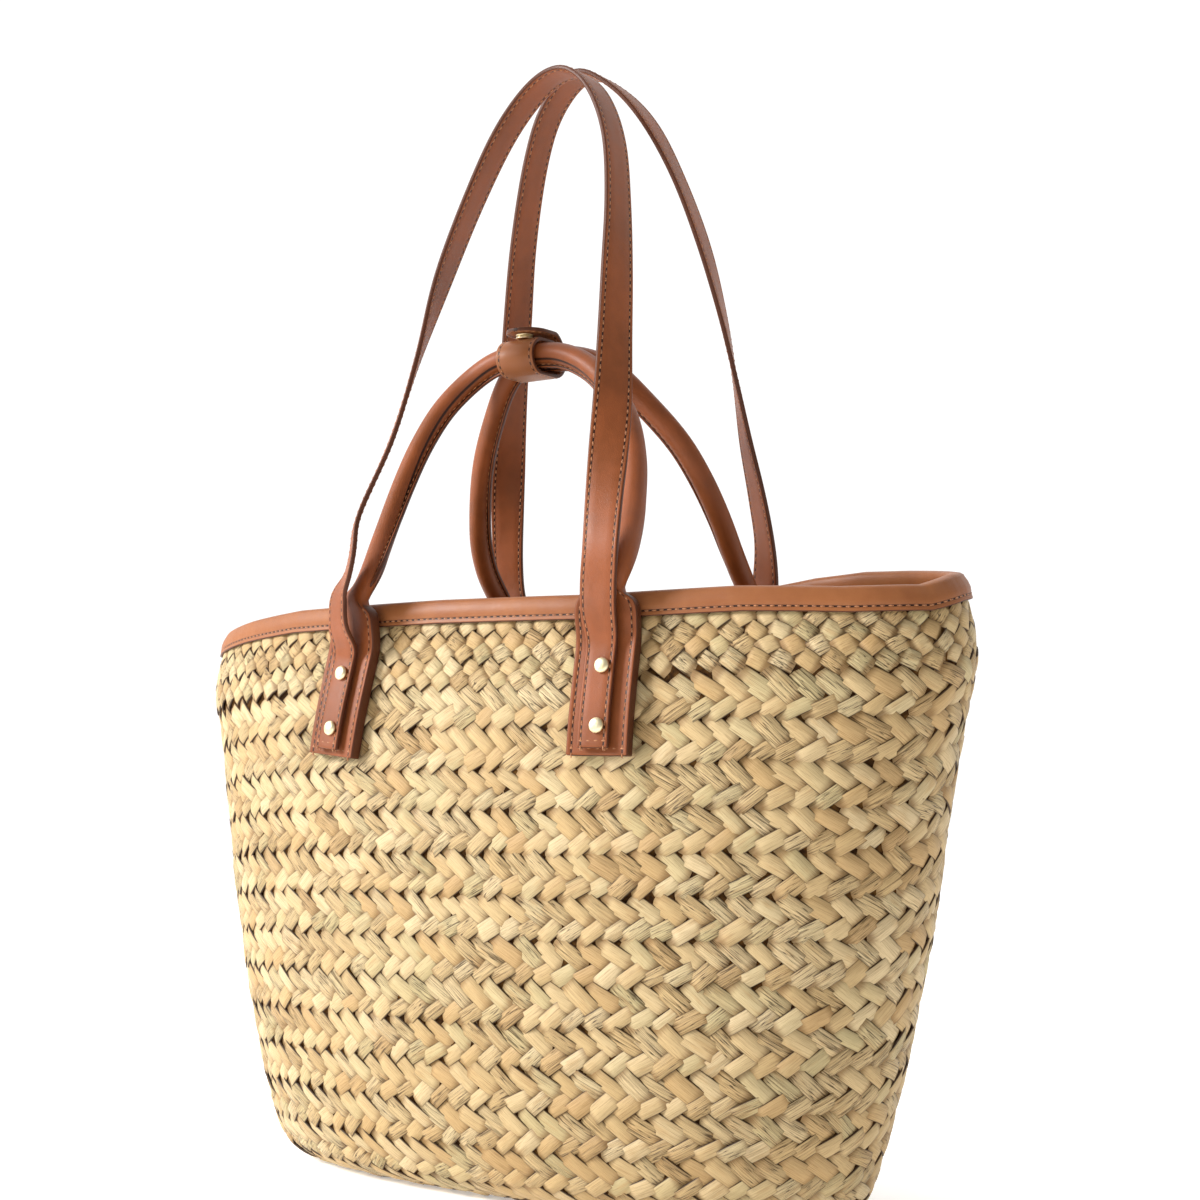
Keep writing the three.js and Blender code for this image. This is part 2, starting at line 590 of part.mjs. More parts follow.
// Handle wrap: a strip that starts on top of the front tube, passes in front of it, under both tubes and
// behind the back one, and comes over the top again as a round-ended flap
const wrapRadius = tubeThick / 2 + curveGap + gap / 2 + wrapSag / 2 + wrapThick / 2;
const wrapMiddle = new THREE.Vector3(wrapPlace, 0, rimHeight + handleRise - wrapSag / 2);
function wrapGeometry() {
  const stations = [];
  const add = (y, z, width) => stations.push({
    point: wrapMiddle.clone().add(new THREE.Vector3(0, y, z)),
    wide: new THREE.Vector3(1, 0, 0), width, thick: wrapThick, square: 6,
  });
  const top = wrapRadius + wrapLift + wrapThick;
  add(meetStand, wrapRadius, wrapWidth);
  for (let k = 0; k <= 6; k += 1) {
    const angle = Math.PI / 2 + Math.PI * k / 6;
    add(-meetStand + wrapRadius * Math.cos(angle), wrapRadius * Math.sin(angle), wrapWidth);
  }
  for (let k = 0; k <= 7; k += 1) {
    const angle = -Math.PI / 2 + Math.PI * k / 7;
    const rise = k < 4 ? 0 : (top - wrapRadius) * (k - 3) / 4;
    const radius = wrapRadius + rise * Math.sin(Math.max(0, angle));
    add(meetStand + wrapRadius * Math.cos(angle) + (k > 3 ? rise * 0.3 * Math.cos(angle) : 0),
      radius * Math.sin(angle), wrapWidth);
  }
  const end = -meetStand - flapReach;
  for (const { back, width } of flapRows) add(end + back * wrapWidth, top, wrapWidth * width);
  return strip(stations, tubeSides);
}

// Snap fastener: its socket on the flap and its stud on the wrap, closed together between the two
function snapGeometry() {
  const low = wrapRadius + wrapThick / 2 + gap;
  const high = wrapRadius + wrapLift + wrapThick / 2 - gap;
  const lip = 0.3 * (high - low);
  const geometry = new THREE.LatheGeometry([
    new THREE.Vector2(0, low),
    new THREE.Vector2(snapWidth / 2, low),
    new THREE.Vector2(snapWidth / 2, low + lip),
    new THREE.Vector2(snapWidth / 3, low + 1.4 * lip),
    new THREE.Vector2(snapWidth / 3, high - 1.4 * lip),
    new THREE.Vector2(snapWidth / 2, high - lip),
    new THREE.Vector2(snapWidth / 2, high),
    new THREE.Vector2(0, high),
  ], 14);
  geometry.rotateX(Math.PI / 2);
  geometry.translate(wrapMiddle.x, -meetStand, wrapMiddle.z);
  return geometry;
}

const straw = new THREE.MeshStandardMaterial({ name: 'straw', color: 0xcfae7c, roughness: 0.8, metalness: 0 });
const tan = new THREE.MeshStandardMaterial({ name: 'leather', color: 0x9a5b3c, roughness: 0.5, metalness: 0 });
const gold = new THREE.MeshStandardMaterial({ name: 'gold', color: 0xe6d9b0, roughness: 0.25, metalness: 1 });

const bag = new THREE.Group();
function add(name, geometry, material) {
  const mesh = new THREE.Mesh(geometry, material);
  mesh.name = name;
  bag.add(mesh);
}

const rivets = rivetPlaces();
const frontRivets = rivets.filter((rivet) => rivet.side < 0);
const backRivets = rivets.filter((rivet) => rivet.side > 0);
add('basket_body', drilled(basketGeometry(), rivets), straw);
add('rim_binding', bindingGeometry(), tan);
add('front_handle', drilled(strip(handleStations(frontHandleRows, -1), tubeSides), frontRivets), tan);
add('back_handle', drilled(strip(handleStations(backHandleRows, 1), tubeSides), backRivets), tan);
add('front_strap', drilled(strip(strapStations(frontStrapRows, -1), strapSides), frontRivets), tan);
add('back_strap', drilled(strip(strapStations(backStrapRows, 1), strapSides), backRivets), tan);
add('handle_wrap', wrapGeometry(), tan);
add('snap_fastener', snapGeometry(), gold);
for (const rivet of rivets) {
  const geometry = rivetGeometry();
  geometry.applyMatrix4(rivet.matrix);
  add(rivet.name, geometry, gold);
}

export default bag;
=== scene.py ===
"""Looks of a straw basket bag: plaited palm straw, tan leather straps and handles, pale gold rivets.

All lengths are in millimetres until a mesh is made, where they become metres. +X is the right end of the
bag seen from its front, -Y is its front, +Z is up.
"""

import json
import logging
import math
from dataclasses import dataclass, field
from enum import Enum
from typing import Any, Optional, Sequence

import bpy
import numpy as np
from mathutils import Matrix, Vector

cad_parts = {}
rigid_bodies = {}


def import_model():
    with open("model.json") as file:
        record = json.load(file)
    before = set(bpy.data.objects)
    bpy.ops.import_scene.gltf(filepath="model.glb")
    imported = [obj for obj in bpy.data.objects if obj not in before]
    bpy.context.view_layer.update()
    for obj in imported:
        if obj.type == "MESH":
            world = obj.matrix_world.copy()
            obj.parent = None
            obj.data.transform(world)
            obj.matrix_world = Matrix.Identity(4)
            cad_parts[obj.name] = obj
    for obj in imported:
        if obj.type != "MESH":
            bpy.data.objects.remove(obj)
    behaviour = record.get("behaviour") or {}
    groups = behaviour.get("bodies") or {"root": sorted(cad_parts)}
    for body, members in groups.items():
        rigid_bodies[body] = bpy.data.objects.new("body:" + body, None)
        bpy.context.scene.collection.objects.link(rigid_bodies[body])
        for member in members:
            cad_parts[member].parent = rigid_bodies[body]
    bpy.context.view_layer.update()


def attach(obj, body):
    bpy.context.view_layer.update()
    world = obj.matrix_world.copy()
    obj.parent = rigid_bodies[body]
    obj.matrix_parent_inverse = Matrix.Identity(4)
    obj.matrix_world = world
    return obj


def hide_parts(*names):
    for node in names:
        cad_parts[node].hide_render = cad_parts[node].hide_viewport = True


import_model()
MM = 0.001
FLOAT_SHARE = 0.66      # share of a strip's length that lies on top, before its ends dive under others
LOG = logging.getLogger("basket_bag")
Array = np.ndarray


class Side(Enum):
    """Front or back of the bag, as the sign of Y."""

    FRONT = -1
    BACK = 1


class End(Enum):
    """Left or right end of a handle or strap, as the sign of X."""

    LEFT = -1
    RIGHT = 1


class Sock:
    """A socket or number on which Python arithmetic adds Math nodes."""

    def __init__(self, tree: "Tree", value: Any) -> None:
        """Keeps the tree and the output socket, or the number."""
        self.tree = tree
        self.value = value

    def call(self, operation: str, other: Any = None, swap: bool = False) -> "Sock":
        """Adds a Math node.

        Args:
            operation: name of the operation.
            other: second value or socket, if the operation takes one.
            swap: whether the other value comes first.

        Returns:
            The node's result.
        """
        pair = [self] if other is None else [self, other]
        if swap:
            pair.reverse()
        return self.tree.node("ShaderNodeMath", {"operation": operation}, dict(enumerate(pair)))

    def __add__(self, other: Any) -> "Sock":
        """Sum."""
        return self.call("ADD", other)

    __radd__ = __add__

    def __sub__(self, other: Any) -> "Sock":
        """Difference."""
        return self.call("SUBTRACT", other)

    def __rsub__(self, other: Any) -> "Sock":
        """Difference from a number."""
        return self.call("SUBTRACT", other, True)

    def __mul__(self, other: Any) -> "Sock":
        """Product."""
        return self.call("MULTIPLY", other)

    __rmul__ = __mul__

    def __truediv__(self, other: Any) -> "Sock":
        """Quotient."""
        return self.call("DIVIDE", other)

    def step(self, low: float, high: float, to_low: float = 0.0, to_high: float = 1.0) -> "Sock":
        """Smooth step of this value.

        Args:
            low: value at which the step starts.
            high: value at which it ends.
            to_low: result at the start.
            to_high: result at the end.

        Returns:
            The stepped value.
        """
        settings = {"interpolation_type": "SMOOTHSTEP", "clamp": True}
        values = {0: self, 1: low, 2: high, 3: to_low, 4: to_high}
        return self.tree.node("ShaderNodeMapRange", settings, values)


class Tree:
    """A node tree in which any node is made by one call."""

    def __init__(self, tree: bpy.types.NodeTree) -> None:
        """Empties the tree and keeps it."""
        self.tree = tree
        tree.nodes.clear()

    def node(self, kind: str, settings: Optional[dict] = None, values: Optional[dict] = None,
             out: Any = 0) -> Sock:
        """Adds a node, sets its settings, then its inputs.

        Args:
            kind: type of the node.
            settings: properties of the node, with "stops" for a ramp.
            values: values or sockets of its inputs, by name or number.
            out: name or number of the output that is returned.

        Returns:
            That output.
        """
        made = self.tree.nodes.new(kind)
        for key, value in (settings or {}).items():
            if key == "stops":
                ramp = made.color_ramp.elements
                while len(ramp) < len(value):
                    ramp.new(0.5)
                for element, (place, colour) in zip(ramp, value):
                    element.position = place
                    element.color = colour
            else:
                setattr(made, key, value)
        for key, value in (values or {}).items():
            socket = made.inputs[key]
            if isinstance(value, Sock):
                value = value.value
            if isinstance(value, bpy.types.NodeSocket):
                self.tree.links.new(value, socket)
            else:
                socket.default_value = value
        if not len(made.outputs):
            return Sock(self, None)
        return Sock(self, made.outputs[out])

    def mix(self, share: Any, a: Any, b: Any, blend: str = "MIX") -> Sock:
        """Mixes two colours.

        Args:
            share: how much of the second.
            a: first colour.
            b: second colour.
            blend: blend type.

        Returns:
            The mixed colour.
        """
        settings = {"data_type": "RGBA", "blend_type": blend, "clamp_factor": True}
        return self.node("ShaderNodeMix", settings, {0: share, 6: a, 7: b}, 2)

    def attribute(self, name: str, out: str = "Fac") -> Sock:
        """Reads a named attribute of the mesh."""
        return self.node("ShaderNodeAttribute", {"attribute_name": name}, {}, out)

    def noise(self, vector: Any, scale: float, detail: float = 2.0, rough: float = 0.5) -> Sock:
        """Noise from 0 to 1 at a vector."""
        values = {"Vector": vector, "Scale": scale, "Detail": detail, "Roughness": rough}
        return self.node("ShaderNodeTexNoise", {}, values, "Fac")

    def vector(self, x: Any, y: Any, z: Any) -> Sock:
        """Joins three values to a vector."""
        return self.node("ShaderNodeCombineXYZ", {}, {0: x, 1: y, 2: z})

    def object_place(self) -> Sock:
        """Place on the object, in metres."""
        return self.node("ShaderNodeTexCoord", {}, {}, "Object")

    def shader(self, base: Any, rough: Any, **more: Any) -> Sock:
        """Adds the surface shader, with more inputs by name, their spaces written as underscores."""
        values = {"Base Color": base, "Roughness": rough}
        values.update({name.replace("_", " "): value for name, value in more.items()})
        return self.node("ShaderNodeBsdfPrincipled", {}, values)

    def bump(self, height: Any, distance: float, strength: float = 1.0) -> Sock:
        """Bump from a height in 0 to 1 over a distance in metres."""
        return self.node("ShaderNodeBump", {}, {"Height": height, "Distance": distance, "Strength": strength})


def linear(code: str) -> tuple[float, float, float, float]:
    """Turns a colour code such as E0C090 into linear light."""
    out = []
    for i in (0, 2, 4):
        value = int(code[i:i + 2], 16) / 255
        out.append(value / 12.92 if value <= 0.04045 else ((value + 0.055) / 1.055) ** 2.4)
    return out[0], out[1], out[2], 1.0


class Finish:
    """A procedural finish. Each kind fills in its own nodes."""

    def material(self, name: str) -> bpy.types.Material:
        """Makes the material.

        Args:
            name: name of the material.

        Returns:
            The material.
        """
        material = bpy.data.materials.new(name)
        material.use_nodes = True
        tree = Tree(material.node_tree)
        shader = self.shade(tree)
        tree.node("ShaderNodeOutputMaterial", {}, {"Surface": shader})
        return material

    def shade(self, tree: Tree) -> Sock:
        """Adds the shader's nodes and returns its output."""
        raise NotImplementedError


@dataclass(frozen=True)
class StrawFinish(Finish):
    """Dry palm strips: each with its own tint, fibres and splits, with painted shade along their edges and
    towards their ends, where they dive under other strips.
    """

    pale: str = "D6BE92"
    cream: str = "CEB383"
    green: str = "C3B080"
    sand: str = "C5A673"
    orange: str = "BE9B68"
    # brown of the fibre streaks, and of the painted shade towards the strips' ends
    brown: str = "7E592B"
    # near-black colour of the painted shade along the strips' edges, and of their splits
    edge: str = "3C230C"
    fibre_scale: float = 16.0
    # how much the colour is darkened, as painted shade for the inside plait
    dim: float = 1.0

    def shade(self, tree: Tree) -> Sock:
        """Adds the shader's nodes and returns its output."""
        along = tree.attribute("strip_along")
        across = tree.attribute("strip_across")
        tint = tree.attribute("strand_tint")
        kind = tree.attribute("strand_kind")
        spot = tree.vector(along * 1.3, across * self.fibre_scale, tint * 61.0)
        fine = tree.noise(spot, 1.0, 4.0, 0.6)
        slow = tree.noise(tree.vector(along * 0.9, across * 1.7, kind * 47.0), 1.0, 2.0)
        patch = tree.noise(tree.object_place(), 55.0, 2.0)
        stops = [(0.0, linear(self.orange)), (0.16, linear(self.sand)), (0.38, linear(self.cream)),
                 (0.58, linear(self.pale)), (0.76, linear(self.green)), (0.90, linear(self.cream)),
                 (1.0, linear(self.sand))]
        base = tree.node("ShaderNodeValToRGB", {"stops": stops}, {0: tint}, "Color")
        warm = (slow + patch).step(0.98, 1.32, 0.0, 0.62)
        base = tree.mix(warm, base, linear(self.orange))
        base = tree.mix(fine.step(0.44, 0.74, 0.0, 0.62), base, linear(self.brown))
        # painted shade: the strips darken to brown towards their ends, where they dive under neighbouring
        # strips
        base = tree.mix(along.call("ABSOLUTE").step(0.38, 0.72, 0.0, 0.7), base, linear(self.brown))
        # painted shade: the strips' edges darken to the near-black edge colour and stand for the thin shadow
        # lines between strips; only a little of it is the strips' own brownish edge
        rim = across.call("ABSOLUTE").step(0.86, 0.98, 0.0, 1.0)
        base = tree.mix(rim, base, linear(self.edge))
        split_noise = tree.noise(tree.vector(along * 0.5, across * 5.5, kind * 91.0), 1.0, 1.0)
        split = (split_noise - 0.5).call("ABSOLUTE").step(0.0, 0.03, 1.0, 0.0)
        split = split * kind.step(0.5, 0.6)
        base = tree.mix(split * 0.85, base, linear(self.edge))
        # painted shade: a darker, warmer copy of the straw for the inside of the bag
        if self.dim != 1.0:
            base = tree.mix(1.0, base, (self.dim, self.dim * 0.97, self.dim * 0.9, 1.0), "MULTIPLY")
        height = fine * 0.5 + split * -1.2 + slow * 0.5
        normal = tree.bump(height, 0.0006, 0.9)
        rough = fine.step(0.2, 0.8, 0.46, 0.66)
        return tree.shader(base, rough, Normal=normal, Specular_IOR_Level=0.38)


@dataclass(frozen=True)
class CoreFinish(Finish):
    """Painted shade: a dark brown shell that stands for the shaded depth between the strips."""

    dark: str = "2A1706"
    light: str = "5E3F1C"

    def shade(self, tree: Tree) -> Sock:
        """Adds the shader's nodes and returns its output."""
        place = tree.object_place()
        mottle = tree.noise(place, 300.0, 3.0)
        base = tree.mix(mottle.step(0.35, 0.75), linear(self.dark), linear(self.light))
        return tree.shader(base, 0.9, Normal=tree.bump(mottle, 0.0006), Specular_IOR_Level=0.1)


@dataclass(frozen=True)
class LeatherFinish(Finish):
    """Smooth tan leather: fine grain, soft mottling, darker painted edges, and painted shade in its seam
    grooves.
    """

    light: str = "965028"
    deep: str = "7A411E"
    edge: str = "4B2614"
    seam_shade: str = "2C140A"
    rough: float = 0.44
    edges: bool = True

    def shade(self, tree: Tree) -> Sock:
        """Adds the shader's nodes and returns its output."""
        place = tree.object_place()
        mottle = tree.noise(place, 28.0, 3.0)
        cloud = tree.noise(place, 150.0, 3.0)
        grain = tree.node("ShaderNodeTexVoronoi", {"feature": "DISTANCE_TO_EDGE"},
                          {"Vector": place, "Scale": 1500.0}, "Distance")
        pores = tree.noise(place, 2600.0, 2.0)
        base = tree.mix((mottle * 0.7 + cloud * 0.3).step(0.25, 0.75), linear(self.deep), linear(self.light))
        height = grain.step(0.0, 0.25) * 0.7 + pores * 0.3 + cloud * 0.8
        rough = (cloud * 0.5 + pores * 0.5).step(0.3, 0.7, self.rough - 0.05, self.rough + 0.08)
        if self.edges:
            side = tree.attribute("edge")
            base = tree.mix(side.step(0.35, 0.75, 0.0, 0.9), base, linear(self.edge))
            # painted shade: the seam grooves and the tube seam are painted near black, as the shade in the
            # stitch holes
            seam = tree.attribute("seam")
            base = tree.mix(seam.step(0.1, 0.7), base, linear(self.seam_shade))
        normal = tree.bump(height, 0.00014, 0.4)
        return tree.shader(base, rough, Normal=normal, Specular_IOR_Level=0.26, Coat_Roughness=0.3,
                           Coat_Weight=0.06)


@dataclass(frozen=True)
class ThreadFinish(Finish):
    """Twisted sewing thread."""

    light: str = "BC7C4A"
    dark: str = "8A5330"

    def shade(self, tree: Tree) -> Sock:
        """Adds the shader's nodes and returns its output."""
        twist = tree.noise(tree.object_place(), 1800.0, 1.0)
        base = tree.mix(twist.step(0.35, 0.65), linear(self.dark), linear(self.light))
        return tree.shader(base, 0.6, Normal=tree.bump(twist, 0.0001), Sheen_Weight=0.2)


@dataclass(frozen=True)
class GoldFinish(Finish):
    """Pale gold plating with faint handling marks."""

    bright: str = "F3E7C2"
    warm: str = "E4D2A4"

    def shade(self, tree: Tree) -> Sock:
        """Adds the shader's nodes and returns its output."""
        place = tree.object_place()
        cloud = tree.noise(place, 260.0, 3.0)
        marks = tree.noise(place, 1400.0, 2.0)
        base = tree.mix(cloud.step(0.35, 0.7), linear(self.bright), linear(self.warm))
        return tree.shader(base, marks.step(0.3, 0.8, 0.36, 0.48), Metallic=1.0,
                           Normal=tree.bump(cloud, 0.00008, 0.5))


@dataclass(frozen=True)
class FloorFinish(Finish):
    """Plain pale studio floor."""

    tone: float = 0.97
    glow: float = 0.36

    def shade(self, tree: Tree) -> Sock:
        """Adds the shader's nodes and returns its output."""
        return tree.shader((self.tone, self.tone, self.tone, 1.0), 0.9, Specular_IOR_Level=0.0,
                           Emission_Color=(1.0, 1.0, 1.0, 1.0), Emission_Strength=self.glow)


def make_mesh(name: str, points: Array, faces: Sequence[Sequence[int]] = (), smooth: bool = True,
              values: Optional[dict[str, Array]] = None,
              edges: Sequence[Sequence[int]] = ()) -> bpy.types.Object:
    """Makes an object from points in millimetres.

    Args:
        name: name of the object.
        points: one row of three numbers for each point.
        faces: point numbers of each face.
        smooth: whether it is shaded smooth.
        values: one number or vector for each point, by the name of the attribute.
        edges: pairs of point numbers, for a mesh without faces.

    Returns:
        The object, at the origin.
    """
    mesh = bpy.data.meshes.new(name)
    metres = (np.asarray(points, float) * MM).tolist()
    mesh.from_pydata(metres, [list(e) for e in edges], [list(f) for f in faces])
    for key, numbers in (values or {}).items():
        numbers = np.asarray(numbers, np.float32)
        kind, field_name = ("FLOAT_VECTOR", "vector") if numbers.ndim > 1 else ("FLOAT", "value")
        layer = mesh.attributes.new(key, kind, "POINT")
        layer.data.foreach_set(field_name, numbers.reshape(-1))
    mesh.polygons.foreach_set("use_smooth", [smooth] * len(mesh.polygons))
    mesh.update()
    thing = bpy.data.objects.new(name, mesh)
    bpy.context.scene.collection.objects.link(thing)
    return thing


def join(name: str, things: Sequence[bpy.types.Object]) -> bpy.types.Object:
    """Joins objects at the origin into one and names it."""
    bpy.ops.object.select_all(action="DESELECT")
    for thing in things:
        thing.select_set(True)
    bpy.context.view_layer.objects.active = things[0]
    bpy.ops.object.join()
    things[0].name = name
    things[0].data.name = name
    return things[0]


def ring_faces(rings: int, sides: int, closed: bool = False) -> list[tuple[int, ...]]:
    """Quads between rings of points.

    Args:
        rings: number of rings.
        sides: points in each ring.
        closed: whether the last ring joins the first.

    Returns:
        The faces, with end caps where the rings don't close.
    """
    faces: list[tuple[int, ...]] = []
    for r in range(rings if closed else rings - 1):
        low, high = r * sides, ((r + 1) % rings) * sides
        for k in range(sides):
            n = (k + 1) % sides
            faces.append((low + k, low + n, high + n, high + k))
    if not closed:
        faces.append(tuple(reversed(range(sides))))
        faces.append(tuple(range((rings - 1) * sides, rings * sides)))
    return faces


def outward(thing: bpy.types.Object) -> bpy.types.Object:
    """Turns the faces of a closed mesh outwards."""
    bpy.ops.object.select_all(action="DESELECT")
    bpy.context.view_layer.objects.active = thing
    thing.select_set(True)
    bpy.ops.object.mode_set(mode="EDIT")
    bpy.ops.mesh.select_all(action="SELECT")
    bpy.ops.mesh.normals_make_consistent(inside=False)
    bpy.ops.object.mode_set(mode="OBJECT")
    return thing


def unit(vectors: Array) -> Array:
    """Vectors of length 1 in the same directions."""
    return vectors / np.maximum(np.linalg.norm(vectors, axis=-1, keepdims=True), 1e-12)


def distances(line: Array) -> Array:
    """Distance along a line at each of its points."""
    return np.concatenate([[0], np.cumsum(np.linalg.norm(np.diff(line, axis=0), axis=1))])


def power(value: Any, exponent: float) -> Any:
    """Power that keeps the sign."""
    return np.sign(value) * np.abs(value) ** exponent


def smooth_step(value: Any, low: float, high: float) -> Any:
    """Smooth step from 0 at low to 1 at high."""
    share = np.clip((np.asarray(value, float) - low) / (high - low), 0, 1)
    return share * share * (3 - 2 * share)


def columns(rows: Sequence[Sequence[float]]) -> Array:
    """Table as an array."""
    return np.array(rows, float)


def smooth_rows(rows: Array, steps: int) -> Array:
    """Rows of a table with Catmull-Rom rows between them."""
    out = []
    last = len(rows) - 1
    for i in range(last):
        p0, p1, p2, p3 = (rows[min(max(i + d, 0), last)] for d in (-1, 0, 1, 2))
        for k in range(steps):
            t = k / steps
            a = (p2 - p0) * 0.5
            b = (p3 - p1) * 0.5
            cubic = 2 * p1 - 2 * p2 + a + b
            square = -3 * p1 + 3 * p2 - 2 * a - b
            out.append(cubic * t ** 3 + square * t ** 2 + a * t + p1)
    out.append(rows[-1])
    return np.array(out)


@dataclass
class BasketForm:
    """Shape of the straw: sizes and section rows, and points on its faces."""

    rim_height: float = 283.0
    half_width: float = 222.0
    rim_half_depth: float = 66.0
    roundness: float = 2.2
    wall: float = 4.0
    rim_wave: float = 10.0
    end_lift: float = 6.0
    leather: float = 1.6
    gap: float = 0.3
    # height, width and depth of each section, as shares
    rows: Array = field(default_factory=lambda: columns([
        (0.000, 0.690, 0.72), (0.010, 0.732, 0.87), (0.036, 0.756, 1.01), (0.088, 0.776, 1.12),
        (0.165, 0.806, 1.19), (0.310, 0.852, 1.24), (0.465, 0.895, 1.25), (0.625, 0.930, 1.24),
        (0.780, 0.970, 1.18), (0.880, 1.000, 1.10), (0.960, 0.986, 1.03), (1.000, 0.967, 1.00)]))
    # turn in degrees and rise of the rim as a share of the wave
    wave: Array = field(default_factory=lambda: columns([
        (0, 0.55), (12, 0.8), (36, 1.22), (48, 1.38), (58, 1.28), (68, 0.95), (90, 0.3), (135, 0),
        (165, -0.55), (185, -0.9), (200, -0.85), (222, -0.33), (238, -0.02), (265, 0.03), (285, -0.08),
        (307, 0.06), (325, -0.08), (345, 0), (360, 0.55)]))

    @property
    def straw_height(self) -> float:
        """Height of the straw where the rim lies level."""
        return self.rim_height - self.leather - self.gap

    def rise(self, angle: Any) -> Any:
        """Rise of the rim at an angle."""
        turn = np.degrees(angle) % 360
        return self.rim_wave * np.interp(turn, self.wave[:, 0], self.wave[:, 1])

    def __post_init__(self) -> None:
        """Adds smooth rows between those of the table."""
        self.smooth = smooth_rows(self.rows, 6)

    def size_at(self, level: Any) -> tuple[Any, Any]:
        """Half width and half depth at a share of the height."""
        wide = self.half_width * np.interp(level, self.smooth[:, 0], self.smooth[:, 1])
        deep = self.rim_half_depth * np.interp(level, self.smooth[:, 0], self.smooth[:, 2])
        return wide, deep

    def point(self, angle: Any, level: Any, inset: Any = 0.0) -> Array:
        """Point of a face of the straw.

        Args:
            angle: angle round the oval, 0 at the right end.
            level: share of the straw's height.
            inset: how far inside the outer face.

        Returns:
            The points, one row each.
        """
        angle, level, inset = np.broadcast_arrays(np.asarray(angle, float), level, inset)
        wide, deep = self.size_at(level)
        exponent = 2 / self.roundness
        across = power(np.cos(angle), exponent)
        lift = self.end_lift * np.abs(across * wide / self.half_width) ** 3 * np.maximum(0, 1 - level / 0.4)
        lift = np.where(level <= 0, 0, lift)
        height = level * self.straw_height + self.rise(angle) * level ** 4 + lift
        back = power(np.sin(angle), exponent)
        return np.stack([(wide - inset) * across, (deep - inset) * back, height], -1)

    def place(self, across: float, height: float, side: Side) -> tuple[Array, Array, Array]:
        """Place on the outer face on the front or back.

        Args:
            across: distance to the right.
            height: height above the floor.
            side: front or back.

        Returns:
            The point, the direction to the right along the face, and the outward normal.
        """
        sign = side.value
        level, angle = height / self.straw_height, sign * math.pi / 2
        for _ in range(12):
            reach = self.size_at(level)[0]
            angle = sign * math.acos(power(across / reach, self.roundness / 2))
            level += (height - self.point(angle, level)[2]) / self.straw_height
        step = 0.01
        along = unit(self.point(angle + step, level) - self.point(angle - step, level)) * -sign
        up = unit(self.point(angle, min(1, level + step)) - self.point(angle, level - step))
        return self.point(angle, level), along, unit(np.cross(along, up)) * -sign


@dataclass
class Station:
    """Stations of a strip: points, width directions, widths, thicknesses, squareness and hollow."""

    points: Array
    wide: Array
    width: Array
    thick: Array
    square: Array
    dish: Array

    def frames(self) -> tuple[Array, Array, Array]:
        """Directions along, across and outwards at each station."""
        along = unit(np.gradient(self.points, axis=0))
        wide = unit(self.wide - along * np.sum(self.wide * along, -1, keepdims=True))
        return along, wide, np.cross(along, wide)


@dataclass
class Section:
    """Section of a leather strip: corner radius, and grooves that its seams press in both faces."""

    corner: float = 0.7
    seam_inset: float = 2.4
    groove: float = 0.22
    groove_width: float = 0.7

    def ring(self, line: Station) -> tuple[Array, Array, Array, Array]:
        """Places across and out of each point of the section at each station, and its edge and seam values.

        Args:
            line: the stations.

        Returns:
            Four arrays with one row for each station.
        """
        half, thick = line.width[:, None] / 2, line.thick[:, None] / 2
        flat = smooth_step(line.square, 2.2, 6.0)[:, None]
        ones, zero = np.ones_like(half), np.zeros_like(half)
        r = self.corner
        seam = half - self.seam_inset
        x = [half, half, half - 0.29 * r, half - r, seam + self.groove_width, seam,
             seam - self.groove_width, seam * 0.42, zero]
        y = [zero, thick - r, thick - 0.29 * r, thick, thick, thick - self.groove, thick, thick, thick]
        edge = [ones, ones, ones * 0.75, zero, zero, zero, zero, zero, zero]
        seam = [zero, zero, zero, zero, zero, ones, zero, zero, zero]
        turn = np.radians([0, 18, 30, 42, 52, 58, 64, 78, 90])
        x = np.concatenate([a * flat + half * math.cos(c) * (1 - flat) for a, c in zip(x, turn)], 1)
        y = np.concatenate([a * flat + thick * math.sin(c) * (1 - flat) for a, c in zip(y, turn)], 1)
        edge = np.concatenate([a * flat for a in edge], 1)
        seam = np.concatenate([a * flat for a in seam], 1)
        order = [(1, 1, range(0, 9)), (-1, 1, range(7, -1, -1)),
                 (-1, -1, range(1, 9)), (1, -1, range(7, 0, -1))]
        across = np.concatenate([s * x[:, list(k)] for s, _, k in order], 1)
        out = np.concatenate([s * y[:, list(k)] for _, s, k in order], 1)
        rim = np.concatenate([edge[:, list(k)] for _, _, k in order], 1)
        sewn = np.concatenate([seam[:, list(k)] for _, _, k in order], 1)
        under = int(np.argmin(out[0]))
        # the seam along a round tube's underside, which the leather finish paints with shade
        sewn[:, under] = 1 - flat[:, 0]
        out[:, under] += 0.5 * (1 - flat[:, 0])
        share = across / half
        out = np.where(out > 0, out - line.dish[:, None] * (1 - share ** 2) * flat, out)
        return across, out, rim, sewn


def strip_mesh(name: str, line: Station, section: Section) -> bpy.types.Object:
    """Strip or tube through stations, with an attribute that is 1 on its cut edges.

    Args:
        name: name of the object.
        line: the stations.
        section: its section.

    Returns:
        The object.
    """
    _, wide, out = line.frames()
    across, rise, rim, seam = section.ring(line)
    for end in (0, -1):
        across[end] -= np.sign(across[end]) * np.minimum(0.4, np.abs(across[end]))
        rise[end] -= np.sign(rise[end]) * np.minimum(0.4, np.abs(rise[end]))
        rim[end] = 1.0
    points = line.points[:, None] + wide[:, None] * across[..., None] + out[:, None] * rise[..., None]
    faces = ring_faces(len(points), across.shape[1])
    return outward(make_mesh(name, points.reshape(-1, 3), faces, True,
                             {"edge": rim.ravel(), "seam": seam.ravel()}))


